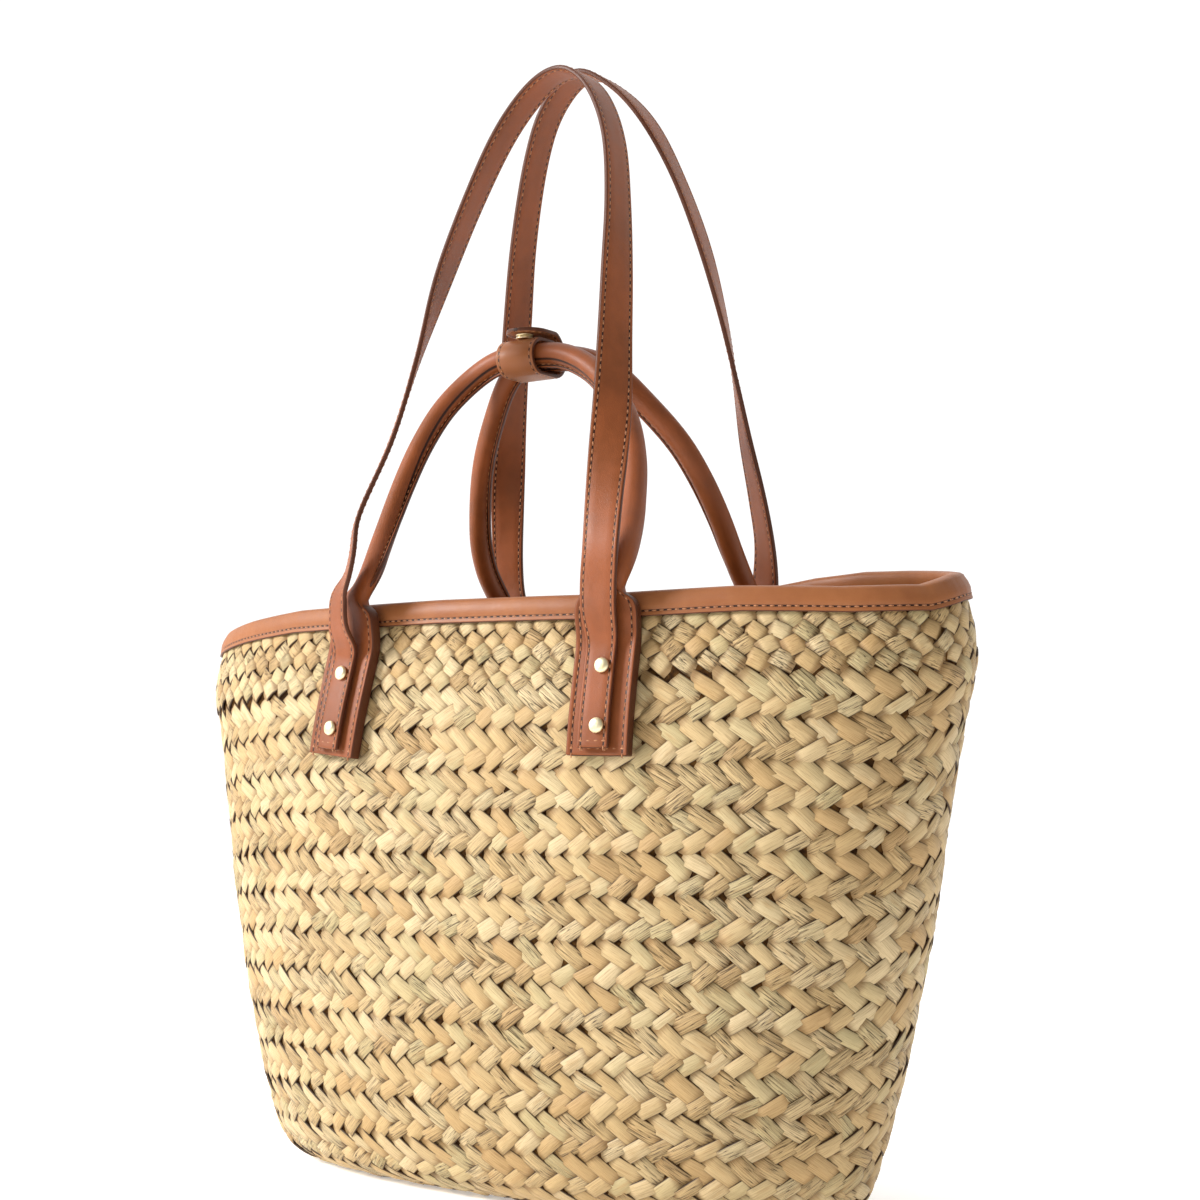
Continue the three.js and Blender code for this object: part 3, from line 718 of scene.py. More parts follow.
@dataclass
class Harness:
    """Handles and shoulder straps: sizes, arch rows and the paths that both share."""

    form: BasketForm
    curve_gap: float = 0.5
    binding_depth: float = 10.0
    tab_spacing: float = 154.0
    tab_length: float = 75.0
    tab_width: float = 31.0
    tab_thick: float = 6.0
    tab_tilt: float = 8.0
    tab_pivot: float = 0.2
    back_shift: float = 6.0
    tube_thick: float = 11.2
    neck_width: float = 16.0
    neck_thick: float = 8.0
    handle_rise: float = 129.0
    strap_width: float = 18.5
    strap_end_width: float = 15.5
    strap_thick: float = 2.4
    strap_rise: float = 268.0
    strap_end_gap: float = 3.5
    strap_shift: float = 0.8
    rivet_cap: float = 7.2
    rivet_cap_height: float = 1.9
    rivet_drop: float = 36.3
    rivet_pitch: float = 26.3
    rivet_shift: float = 1.2
    strap_seam: float = 2.0
    tab_seam: float = 2.7
    tab_square: float = 9.0
    tab_hollow: float = 1.4
    strap_square: float = 7.0
    station_step: float = 2.6
    end_steps: tuple[float, float] = (0.35, 0.9)
    # rise of a handle, then width, thickness and squareness of its section, which is round further up
    neck_rows: Array = field(default_factory=lambda: columns([
        (0.01, 0.80, 0.00, 3.2), (0.06, 0.25, 0.45, 2.4), (0.13, 0.00, 1.00, 2.0)]))
    # rise, place across, lean and turn of the arches of the handles and straps
    handle_rows: dict[Side, Array] = field(default_factory=lambda: {
        Side.FRONT: columns([
            (0.010, -0.929, 1, 10), (0.060, -0.873, 0.98, 15), (0.130, -0.869, 0.89, 25),
            (0.220, -0.910, 0.75, 35), (0.340, -0.941, 0.59, 45), (0.500, -0.944, 0.42, 55),
            (0.660, -0.898, 0.28, 65), (0.810, -0.807, 0.14, 72), (0.930, -0.644, 0.02, 80),
            (0.993, -0.425, 0, 88), (1.000, -0.172, 0, 90), (0.985, 0.094, 0.01, 88),
            (0.910, 0.353, 0.06, 80), (0.790, 0.580, 0.16, 72), (0.660, 0.759, 0.28, 65),
            (0.500, 0.886, 0.42, 55), (0.340, 0.974, 0.59, 45), (0.220, 1.038, 0.75, 35),
            (0.130, 1.076, 0.89, 25), (0.060, 1.068, 0.98, 15), (0.010, 1.011, 1, 10)]),
        Side.BACK: columns([
            (0.010, -1.075, 1, 10), (0.060, -1.125, 0.98, 15), (0.130, -1.150, 0.88, 25),
            (0.220, -1.135, 0.73, 35), (0.340, -1.078, 0.57, 45), (0.500, -0.972, 0.41, 55),
            (0.640, -0.855, 0.28, 65), (0.780, -0.683, 0.14, 72), (0.920, -0.490, 0.02, 80),
            (0.993, -0.345, 0, 88), (1.000, -0.120, 0, 90), (0.985, 0.125, 0.01, 88),
            (0.920, 0.355, 0.05, 80), (0.790, 0.552, 0.16, 72), (0.640, 0.735, 0.29, 65),
            (0.490, 0.843, 0.42, 55), (0.340, 0.891, 0.59, 45), (0.220, 0.898, 0.75, 35),
            (0.130, 0.899, 0.89, 25), (0.060, 0.915, 0.98, 15), (0.010, 0.950, 1, 10)])})
    strap_rows: dict[Side, Array] = field(default_factory=lambda: {
        Side.FRONT: columns([
            (0.010, -0.935, 1.08, 26), (0.045, -0.867, 1.07, 42), (0.090, -0.842, 1.05, 45),
            (0.160, -0.856, 0.98, 47), (0.300, -0.719, 0.83, 46), (0.455, -0.617, 0.7, 52),
            (0.610, -0.516, 0.57, 75), (0.765, -0.355, 0.45, 82), (0.890, -0.179, 0.35, 87),
            (0.970, 0.027, 0.28, 89), (0.995, 0.229, 0.26, 90), (0.972, 0.410, 0.28, 89),
            (0.915, 0.571, 0.32, 89), (0.825, 0.708, 0.39, 89), (0.700, 0.800, 0.49, 85),
            (0.570, 0.865, 0.6, 74), (0.440, 0.922, 0.71, 65), (0.330, 0.966, 0.8, 48),
            (0.240, 0.984, 0.87, 26), (0.150, 1.005, 0.95, 9), (0.070, 1.028, 1.02, 2),
            (0.010, 1.005, 1.01, 3)]),
        Side.BACK: columns([
            (0.010, -1.104, 1.01, 4), (0.070, -1.150, 1.01, 4), (0.150, -1.125, 0.95, 9),
            (0.250, -1.059, 0.86, 29), (0.350, -0.984, 0.78, 55), (0.450, -0.896, 0.7, 73),
            (0.600, -0.767, 0.58, 75), (0.750, -0.627, 0.46, 83), (0.900, -0.433, 0.34, 88),
            (0.992, -0.240, 0.27, 89), (1.043, 0.025, 0.24, 90), (1.004, 0.290, 0.26, 89),
            (0.930, 0.507, 0.32, 89), (0.820, 0.683, 0.4, 82), (0.690, 0.816, 0.5, 80),
            (0.560, 0.890, 0.61, 71), (0.440, 0.927, 0.71, 60), (0.320, 0.949, 0.81, 46),
            (0.220, 0.983, 0.89, 38), (0.130, 0.985, 0.99, 33), (0.060, 0.957, 1.05, 20),
            (0.010, 0.938, 1.04, 8)])})

    @property
    def binding_proud(self) -> float:
        """How far the rim binding stands out of the straw."""
        return self.curve_gap + 1.4 * self.form.leather

    @property
    def rim_stand(self) -> float:
        """How far out of the mid-plane the binding reaches at a tab."""
        across = self.tab_spacing / 2 - self.back_shift
        place = self.form.place(across, self.form.straw_height - self.binding_depth / 2, Side.BACK)
        return place[0][1] + self.binding_proud

    @property
    def neck_stand(self) -> float:
        """How far out of the mid-plane the neck of a handle lies at the rim."""
        return self.rim_stand + self.form.gap + self.neck_thick / 2

    @property
    def strap_stand(self) -> float:
        """How far out of the mid-plane a strap lies at the rim."""
        gaps = 2 * self.form.gap + self.curve_gap
        return self.rim_stand + gaps + self.neck_thick + self.strap_thick / 2

    def tab_across(self, end: End, side: Side, height: Any) -> Any:
        """Distance across of the middle of a tab at a height."""
        tilted = end is End.LEFT and side is Side.FRONT
        tilt = self.tab_tilt if tilted else 0.0
        share = (height - self.form.rim_height + self.tab_length) / self.tab_length
        back = self.back_shift if side is Side.BACK else 0.0
        return end.value * self.tab_spacing / 2 + tilt * (share - self.tab_pivot) - back

    def face_line(self, end: End, side: Side, lower: float, shift: float, stand: float,
                  start: tuple[Array, Array]) -> tuple[Array, Array, Array]:
        """Points and width directions of a strip where it lies on the basket and passes over to its arch.

        Args:
            end: left or right.
            side: front or back.
            lower: height of the lower end.
            shift: how far the strip lies to the left of the tab's middle.
            stand: how far its middle stands off the straw.
            start: point and width direction where the arch begins.

        Returns:
            Points from the lower end up to the rim, width directions, and how far they have passed over.
        """
        rim = self.form.rim_height
        heights = np.linspace(lower, rim - self.binding_depth / 2, 34)
        low = rim - self.rivet_drop + 1.4 * self.rivet_cap
        share = smooth_step(heights, low, rim - self.binding_depth)
        points, wide = [], []
        for height, over in zip(heights, share):
            across = self.tab_across(end, side, height) - shift
            point, along, normal = self.form.place(across, min(height, self.form.straw_height), side)
            point = (point + normal * stand) * (1 - over) + start[0] * over
            point[2] = height
            points.append(point)
            wide.append(along * end.value * (1 - over) + start[1] * over)
        return np.array(points), unit(np.array(wide)), share

    def arch(self, rows: Array, rise: float, steps: int = 8) -> Array:
        """Smooth arch rows with the turn made an angle that runs on over the top."""
        peak = int(np.argmax(rows[:, 3] == 90))
        angled = rows.copy()
        angled[:peak + 1, 3] = 180 - rows[:peak + 1, 3]
        out = smooth_rows(angled, steps)
        out[:, 0] = self.form.rim_height + out[:, 0] * rise
        out[:, 1] *= self.tab_spacing / 2
        return out

    def wide_of(self, angle: Array, side: Side) -> Array:
        """Width directions for angles seen from above."""
        turn = np.radians(angle)
        return np.stack([np.cos(turn), -side.value * np.sin(turn), np.zeros(len(turn))], -1)

    def join_line(self, side: Side, arch: Array, out: Array, sizes: Array, end_sizes: Sequence[float],
                  lower: float, shift: float, stand: float) -> Station:
        """Joins the two ends and the arch of a strip, evenly spaced and slightly smoothed.

        Args:
            side: front or back.
            arch: smooth arch rows.
            out: distances of the arch from the mid-plane.
            sizes: width, thickness, squareness and hollow of each arch row.
            end_sizes: the same of the ends.
            lower: height of the lower ends.
            shift: how far the ends lie to the left of the tab's middle.
            stand: how far the middle of the ends stands off the straw.

        Returns:
            The stations.
        """
        middle = np.stack([arch[:, 1], side.value * out, arch[:, 0]], -1)
        turned = self.wide_of(arch[:, 3], side)
        ends = [self.face_line(end, side, lower, shift, stand, (middle[at], turned[at]))
                for end, at in ((End.LEFT, 0), (End.RIGHT, -1))]
        points = np.concatenate([ends[0][0], middle, ends[1][0][::-1]])
        wide = np.concatenate([ends[0][1], turned, ends[1][1][::-1]])
        flat = [np.tile(end_sizes, (len(share), 1)) for _, _, share in ends]
        for table, (_, _, share), at in zip(flat, ends, (0, -1)):
            grown = np.maximum(sizes[at, 0], end_sizes[0]) - end_sizes[0]
            table[:, 0] += grown * share
        table = np.concatenate([flat[0], sizes, flat[1][::-1]])
        length = distances(points)
        even = np.linspace(0, length[-1], int(length[-1] / self.station_step))
        more = np.array(self.end_steps)
        even = np.sort(np.concatenate([even, more, length[-1] - more]))
        stack = np.column_stack([points, wide, table])
        stack = np.stack([np.interp(even, length, stack[:, k]) for k in range(stack.shape[1])], -1)
        kernel = np.array([1, 2, 3, 2, 1]) / 9
        soft = stack.copy()
        for k in range(stack.shape[1]):
            soft[2:-2, k] = np.convolve(stack[:, k], kernel, "valid")
        return Station(soft[:, :3], unit(soft[:, 3:6]), soft[:, 6], soft[:, 7], soft[:, 8], soft[:, 9])

    def handle_line(self, side: Side) -> Station:
        """Stations of a short handle from its left tab to its right one."""
        rows = self.handle_rows[side]
        neck = [np.interp(rows[:, 0], self.neck_rows[:, 0], self.neck_rows[:, k]) for k in (1, 2, 3)]
        arch = self.arch(np.column_stack([rows, *neck]), self.handle_rise)
        meet = self.tube_thick / 2 + self.form.gap
        out = meet + (self.neck_stand - meet) * arch[:, 2]
        sizes = np.stack([self.tube_thick + (self.neck_width - self.tube_thick) * arch[:, 4],
                          self.neck_thick + (self.tube_thick - self.neck_thick) * arch[:, 5],
                          arch[:, 6], 0 * out], -1)
        lower = self.form.rim_height - self.tab_length
        ends = (self.tab_width, self.tab_thick, self.tab_square, self.tab_hollow)
        return self.join_line(side, arch, out, sizes, ends, lower, 0.0, self.curve_gap + self.tab_thick / 2)

    def strap_line(self, side: Side) -> Station:
        """Stations of a shoulder strap from its left end to its right one."""
        arch = self.arch(self.strap_rows[side], self.strap_rise)
        sizes = np.tile((self.strap_width, self.strap_thick, self.strap_square, 0.0), (len(arch), 1))
        lower = self.form.rim_height - self.tab_length + self.strap_end_gap
        stand = 2 * self.curve_gap + self.tab_thick + self.strap_thick / 2
        ends = (self.strap_end_width, self.strap_thick, self.strap_square, 0.0)
        return self.join_line(side, arch, self.strap_stand * arch[:, 2], sizes, ends,
                              lower, self.strap_shift, stand)

    def rivets(self) -> list[tuple[str, Array, Array]]:
        """Name, place on the straw and outward normal of each rivet."""
        out = []
        for side in Side:
            for end in End:
                for row, drop in (("upper", self.rivet_drop), ("lower", self.rivet_drop + self.rivet_pitch)):
                    height = self.form.rim_height - drop
                    across = self.tab_across(end, side, height) + self.rivet_shift
                    point, _, normal = self.form.place(across, height, side)
                    out.append((f"rivet_{side.name.lower()}_{end.name.lower()}_{row}", point, normal))
        return out


class Geo(Tree):
    """A Geometry Nodes tree with named inputs, which ends in Realize Instances and Set Material."""

    def __init__(self, name: str, inputs: Sequence[tuple[str, str]]) -> None:
        """Makes the tree.

        Args:
            name: name of the tree.
            inputs: name and socket type of each input after the geometry and before the material.
        """
        super().__init__(bpy.data.node_groups.new(name, "GeometryNodeTree"))
        face = self.tree.interface
        face.new_socket("Geometry", in_out="INPUT", socket_type="NodeSocketGeometry")
        self.ids = {}
        for title, kind in [*inputs, ("Material", "NodeSocketMaterial")]:
            self.ids[title] = face.new_socket(title, in_out="INPUT", socket_type=kind).identifier
        face.new_socket("Geometry", in_out="OUTPUT", socket_type="NodeSocketGeometry")
        self.start = self.tree.nodes.new("NodeGroupInput")

    def given(self, title: str) -> Sock:
        """Output of a named input."""
        return Sock(self, self.start.outputs[title])

    def shape(self, title: str) -> Sock:
        """Geometry of an object input."""
        return self.node("GeometryNodeObjectInfo", {}, {"Object": self.given(title)}, "Geometry")

    def attribute(self, name: str, kind: str = "FLOAT") -> Sock:
        """Reads a named attribute."""
        return self.node("GeometryNodeInputNamedAttribute", {"data_type": kind}, {"Name": name})

    def chance(self, low: float, high: float, seed: Any) -> Sock:
        """Random value from low to high for each element."""
        values = {2: low, 3: high, "Seed": seed}
        return self.node("FunctionNodeRandomValue", {"data_type": "FLOAT"}, values, 1)

    def turned_to(self, axis: str, direction: Any, first: Optional[Sock] = None) -> Sock:
        """Rotation that brings an axis to a direction, about X where there is a first rotation.

        Args:
            axis: the axis.
            direction: where it points.
            first: rotation that comes before.

        Returns:
            The rotation.
        """
        if first is None:
            return self.node("FunctionNodeAlignRotationToVector", {"axis": axis}, {"Vector": direction})
        return self.node("FunctionNodeAlignRotationToVector", {"axis": axis, "pivot_axis": "X"},
                         {"Rotation": first, "Vector": direction})

    def finish(self, geometry: Any) -> None:
        """Ends the tree: Realize Instances, Set Material, output."""
        real = self.node("GeometryNodeRealizeInstances", {}, {"Geometry": geometry})
        values = {"Geometry": real, "Material": self.given("Material")}
        shown = self.node("GeometryNodeSetMaterial", {}, values)
        self.node("NodeGroupOutput", {}, {0: shown})

    def grow(self, name: str, base: bpy.types.Object, values: dict[str, Any]) -> bpy.types.Object:
        """Runs the tree on an object and keeps the result as a plain mesh.

        Args:
            name: name of the new object.
            base: the object that the tree starts from, which is deleted.
            values: values of the inputs, by name.

        Returns:
            The new object.
        """
        modifier = base.modifiers.new("grow", "NODES")
        modifier.node_group = self.tree
        for title, value in values.items():
            modifier[self.ids[title]] = value
        bpy.context.view_layer.update()
        graph = bpy.context.evaluated_depsgraph_get()
        mesh = bpy.data.meshes.new_from_object(base.evaluated_get(graph), depsgraph=graph)
        base.modifiers.remove(modifier)
        mesh.name = name
        mesh.polygons.foreach_set("use_smooth", [True] * len(mesh.polygons))
        thing = bpy.data.objects.new(name, mesh)
        bpy.context.scene.collection.objects.link(thing)
        bpy.data.objects.remove(base)
        return thing


def stitch_tree() -> Geo:
    """Tree that lays stitches along the edges of a mesh, which has an outward normal attribute."""
    geo = Geo("stitches_along_a_line", [("Pitch", "NodeSocketFloat"), ("Stitch", "NodeSocketObject")])
    curve = geo.node("GeometryNodeMeshToCurve", {}, {"Mesh": geo.given("Geometry")})
    curve = geo.node("GeometryNodeResampleCurve", {"mode": "LENGTH"},
                     {"Curve": curve, "Length": geo.given("Pitch")})
    turn = geo.turned_to("X", geo.node("GeometryNodeInputTangent"))
    turn = geo.turned_to("Z", geo.attribute("face_out", "FLOAT_VECTOR"), turn)
    geo.finish(geo.node("GeometryNodeInstanceOnPoints", {}, {
        "Points": curve, "Instance": geo.shape("Stitch"), "Rotation": turn,
        "Scale": geo.vector(geo.chance(0.92, 1.05, 5), 1.0, 1.0)}))
    return geo


def rivet_tree() -> Geo:
    """Tree that sets one shape on every point, facing along an outward normal attribute."""
    geo = Geo("shapes_on_points", [("Shape", "NodeSocketObject")])
    geo.finish(geo.node("GeometryNodeInstanceOnPoints", {}, {
        "Points": geo.given("Geometry"), "Instance": geo.shape("Shape"),
        "Rotation": geo.turned_to("Z", geo.attribute("face_out", "FLOAT_VECTOR"))}))
    return geo


def plait_tree() -> Geo:
    """Tree that lays a crowned palm strip on every point of a plan and bends the plan round the basket.

    Points of the plan carry a slant, a length, a width and a lift. X of the plan is the distance along a
    turn of the plait, Y the distance down the wall, both in metres, and "reach" is the length of the turn.
    """
    geo = Geo("plait_on_the_basket", [
        ("Strip", "NodeSocketObject"), ("Guide", "NodeSocketObject"), ("Crown", "NodeSocketFloat"),
        ("Cup", "NodeSocketFloat"), ("Seed", "NodeSocketInt")])
    seed = geo.given("Seed")
    along, across = geo.attribute("strip_along"), geo.attribute("strip_across")
    long = geo.attribute("strip_length") * geo.chance(0.93, 1.1, seed + 2.0)
    broad = geo.attribute("strip_width") * geo.chance(0.84, 1.14, seed + 3.0)
    slant = geo.attribute("slant") + geo.chance(-0.13, 0.13, seed + 1.0)
    placed = geo.node("GeometryNodeInstanceOnPoints", {}, {
        "Points": geo.given("Geometry"), "Instance": geo.shape("Strip"),
        "Rotation": geo.vector(0.0, 0.0, slant), "Scale": geo.vector(long, broad, 1.0)})
    for name, low, high, more in (
            ("strand_tint", 0.0, 1.0, 4.0), ("strand_kind", 0.0, 1.0, 5.0),
            ("strand_lift", -0.0003, 0.00045, 6.0), ("strand_roll", -0.0005, 0.0005, 7.0)):
        placed = geo.node("GeometryNodeStoreNamedAttribute", {"data_type": "FLOAT", "domain": "INSTANCE"}, {
            "Geometry": placed, "Name": name, "Value": geo.chance(low, high, seed + more)})
    real = geo.node("GeometryNodeRealizeInstances", {}, {"Geometry": placed})
    wave = (along * (math.pi / 2 / FLOAT_SHARE)).call("COSINE")
    height = (wave * 2.6).call("TANH") * geo.given("Crown") - across * across * geo.given("Cup")
    height = height + across * geo.attribute("strand_roll")
    for name in ("strand_lift", "lift", "skirt"):
        height = height + geo.attribute(name)
    plan = geo.node("ShaderNodeSeparateXYZ", {}, {0: geo.node("GeometryNodeInputPosition")}).value.node
    spot = geo.vector(Sock(geo, plan.outputs[0]) / geo.attribute("reach"), plan.outputs[1], 0.0)
    guide = geo.shape("Guide")
    places = geo.attribute("plan", "FLOAT_VECTOR")

    def sampled(value: Any) -> Sock:
        """Value of the guide at the plan's place."""
        return geo.node("GeometryNodeSampleUVSurface", {"data_type": "FLOAT_VECTOR"}, {
            "Mesh": guide, "Value": value, "UV Map": places, "Sample UV": spot})

    ground = sampled(geo.node("GeometryNodeInputPosition"))
    normal = geo.node("ShaderNodeVectorMath", {"operation": "NORMALIZE"},
                      {0: sampled(geo.attribute("face_out", "FLOAT_VECTOR"))})
    lifted = geo.node("ShaderNodeVectorMath", {"operation": "SCALE"}, {0: normal, "Scale": height})
    final = geo.node("ShaderNodeVectorMath", {"operation": "ADD"}, {0: ground, 1: lifted})
    geo.finish(geo.node("GeometryNodeSetPosition", {}, {"Geometry": real, "Position": final}))
    return geo


@dataclass
class Surface:
    """Grid of the straw's surface: shares of a turn by distances down from the top edge."""

    form: BasketForm
    around: int = 240
    step: float = 4.0
    margin: int = 8
    wall_levels: int = 90
    base_rings: int = 16

    def __post_init__(self) -> None:
        """Works out rings at equal distances down the wall and in over the base."""
        levels = np.linspace(1.0, 0.0, self.wall_levels)
        turns = np.linspace(0, 2 * np.pi, 1441)
        rings = [self.form.point(turns, level) for level in levels]
        wide, deep = self.form.size_at(0.0)
        exponent = 2 / self.form.roundness
        for inset in np.linspace(0, deep - 1.0, self.base_rings)[1:]:
            rings.append(np.stack([(wide - inset) * power(np.cos(turns), exponent),
                                   (deep - inset) * power(np.sin(turns), exponent), 0 * turns], -1))
        shares = np.arange(self.around + 1) / self.around
        even, reach = [], []
        for ring in rings:
            length = distances(ring)
            reach.append(length[-1])
            even.append(np.stack([np.interp(shares * length[-1], length, ring[:, k]) for k in range(3)], -1))
        stack = np.array(even)
        steps = np.linalg.norm(np.diff(stack, axis=0), axis=2)
        down = np.concatenate([np.zeros((1, steps.shape[1])), np.cumsum(steps, axis=0)])
        mean = down.mean(axis=1, keepdims=True)
        blend = (np.linspace(0, 1, len(down))[:, None]) ** 2
        down = down * (1 - blend) + mean * blend
        self.depths = np.arange(0, mean[-1, 0] + self.step, self.step)
        self.points = np.stack([
            np.stack([np.interp(self.depths, down[:, c], stack[:, c, k]) for k in range(3)], -1)
            for c in range(stack.shape[1])], 1)
        self.reach = np.interp(self.depths, mean[:, 0], reach)
        east = unit(np.gradient(np.concatenate([self.points[:, -2:-1], self.points, self.points[:, 1:2]], 1),
                                axis=1)[:, 1:-1])
        south = unit(np.gradient(self.points, axis=0))
        normal = unit(np.cross(south, east))
        normal[self.depths > mean[self.wall_levels + 1, 0]] = (0, 0, -1)
        self.normals = normal

    def reach_at(self, depth: Any) -> Any:
        """Length of a turn at a distance down."""
        return np.interp(depth, self.depths, self.reach)

    def offset(self, inset: float) -> Array:
        """Grid of points a distance inside the surface."""
        return self.points - self.normals * inset

    def guide(self, name: str, inset: float, outwards: float) -> bpy.types.Object:
        """Grid mesh with plan places and outward directions, with columns past both ends.

        Args:
            name: name of the object.
            inset: how far it lies inside the outer face.
            outwards: 1 for the outer face, -1 for the inner one.

        Returns:
            The object.
        """
        columns_in = np.arange(-self.margin, self.around + self.margin + 1)
        wrapped = columns_in % self.around
        points = self.offset(inset)[:, wrapped]
        normals = self.normals[:, wrapped] * outwards
        rows, cols = points.shape[:2]
        index = np.arange(rows * cols).reshape(rows, cols)
        faces = np.stack([index[1:, :-1], index[1:, 1:], index[:-1, 1:], index[:-1, :-1]], -1).reshape(-1, 4)
        share = np.broadcast_to(columns_in / self.around, (rows, cols))
        down = np.broadcast_to(-self.depths[:, None] * MM, (rows, cols))
        plan = np.stack([share, down, 0 * down], -1)
        return make_mesh(name, points.reshape(-1, 3), faces, values={
            "plan": plan.reshape(-1, 3), "face_out": normals.reshape(-1, 3)})


@dataclass
class Plait:
    """The sewn spiral of plaited palm: floats of its two bands, and the beaded rows under the binding."""

    form: BasketForm
    surface: Surface
    spacing: float = 11.2
    pitch: float = 19.6
    first: float = 36.0
    slant: float = 34.0
    strip: float = 8.5
    long_float: float = 27.0
    long_place: float = 0.30
    short_float: float = 22.0
    short_place: float = 0.80
    short_shift: float = -0.25
    bead_first: float = 12.5
    bead_pitch: float = 6.5
    bead_slant: float = 32.0
    bead_length: float = 13.0
    bead_width: float = 8.8
    bead_lift: float = 0.35
    crown: float = 0.8
    cup: float = 0.16
    skirt: float = 0.8
    outer_inset: float = 0.9
    inner_inset: float = 3.1
    core_inset: float = 0.35

    def strip_shape(self, name: str, along: int, across: Sequence[float]) -> bpy.types.Object:
        """Flat strip of unit size with its plan attributes.

        Args:
            name: name of the object.
            along: faces along it.
            across: places across, from -1 to 1; a place past 1 hangs down as a skirt.

        Returns:
            The object.
        """
        u = np.linspace(-1, 1, along + 1)
        v = np.array(across)
        side = np.clip(v, -1, 1)
        points = [(a / 2 * 1000, b / 2 * 1000, 0) for a in u for b in side]
        count = len(v)
        faces = [(i * count + k, (i + 1) * count + k, (i + 1) * count + k + 1, i * count + k + 1)
                 for i in range(along) for k in range(count - 1)]
        hang = np.where(np.abs(v) > 1, -self.skirt * MM, 0.0)
        return make_mesh(name, points, faces, True, {
            "strip_along": np.repeat(u, count), "strip_across": np.tile(side, along + 1),
            "skirt": np.tile(hang, along + 1)})

    def plan(self) -> bpy.types.Object:
        """Points of the plan: one for each float, down the spiral from the binding to the base.

        Returns:
            The points, with their attributes.
        """
        rows = []
        last = self.surface.depths[-1] - 2.0
        share, depth = 1.0, self.first
        while depth < last:
            reach = float(self.surface.reach_at(depth))
            for offset, side, turn, length in (
                    (self.long_place, 0.0, -1, self.long_float),
                    (self.short_place, self.short_shift, 1, self.short_float)):
                down = depth + offset * self.pitch
                if down < last:
                    here = float(self.surface.reach_at(down))
                    x = (share % 1.0) * here + side * self.spacing
                    rows.append((x, -down, math.radians(self.slant) * turn, length, self.strip, 0.0, here))
            share -= self.spacing / reach
            depth += self.pitch * self.spacing / reach
        table = np.array(rows + self.beads())
        flat = np.column_stack([table[:, 0], table[:, 1], 0 * table[:, 0]])
        return make_mesh("plait_plan", flat, values={
            "slant": table[:, 2], "strip_length": table[:, 3] * MM, "strip_width": table[:, 4] * MM,
            "lift": table[:, 5] * MM, "reach": table[:, 6] * MM})

    def beads(self) -> list[tuple[float, ...]]:
        """Rows of short full floats between the binding and the first notch line."""
        rows = []
        reach = float(self.surface.reach_at(20.0))
        count = round(reach / self.spacing)
        for k in range(count):
            share = (k + 0.5) / count
            end = self.first + self.pitch * (1 - share)
            line = 0
            while self.bead_first + line * self.bead_pitch < end - 1.0:
                down = self.bead_first + line * self.bead_pitch
                turn = -1 if line % 2 else 1
                x = share * reach + (line % 2) * self.spacing / 2
                rows.append((x, -down, math.radians(self.bead_slant) * turn, self.bead_length,
                             self.bead_width, self.bead_lift, reach))
                line += 1
        return rows

    def build(self) -> list[bpy.types.Object]:
        """Makes the outer plait, the inner plait and the core between them."""
        tree = plait_tree()
        made = []
        for name, inset, outwards, along, across, finish in (
                ("basket_plait_outside", self.outer_inset, 1.0, 7, (-1.01, -0.94, 0.0, 0.94, 1.01),
                 StrawFinish().material("palm straw")),
                ("basket_plait_inside", self.inner_inset, -1.0, 5, (-1.01, 0.0, 1.01),
                 # the inside straw is a darkened copy of the outside straw: painted shade
                 StrawFinish(dim=0.92).material("palm straw inside"))):
            strip = self.strip_shape(name + "_strip", along, across)
            guide = self.surface.guide(name + "_guide", inset, outwards)
            plan = self.plan()
            thing = tree.grow(name, plan, {
                "Strip": strip, "Guide": guide, "Crown": self.crown * MM, "Cup": self.cup * MM,
                "Seed": 3 if outwards > 0 else 29, "Material": finish})
            bpy.data.objects.remove(strip)
            bpy.data.objects.remove(guide)
            if outwards < 0:
                thing.data.flip_normals()
            made.append(thing)
        made.append(self.core())
        return made

    def core(self) -> bpy.types.Object:
        """Closed dark shell between the outer and the inner strips; its dark colour is painted shade, seen
        through the gaps.
        """
        outer = self.surface.offset(self.outer_inset + self.core_inset)[:, :-1]
        inner = self.surface.offset(self.inner_inset - self.core_inset)[:, :-1]
        rows, cols = outer.shape[:2]
        points = np.concatenate([outer.reshape(-1, 3), inner.reshape(-1, 3)])
        faces = []
        for layer in (0, 1):
            start = layer * rows * cols
            for r in range(rows - 1):
                for c in range(cols):
                    n = (c + 1) % cols
                    quad = [start + r * cols + c, start + r * cols + n,
                            start + (r + 1) * cols + n, start + (r + 1) * cols + c]
                    faces.append(quad)
            faces.append([start + (rows - 1) * cols + c for c in range(cols)])
        for c in range(cols):
            n = (c + 1) % cols
            faces.append([c, n, rows * cols + n, rows * cols + c])
        thing = outward(make_mesh("basket_core", points, faces))
        thing.data.materials.append(CoreFinish().material("plait depth"))
        return thing


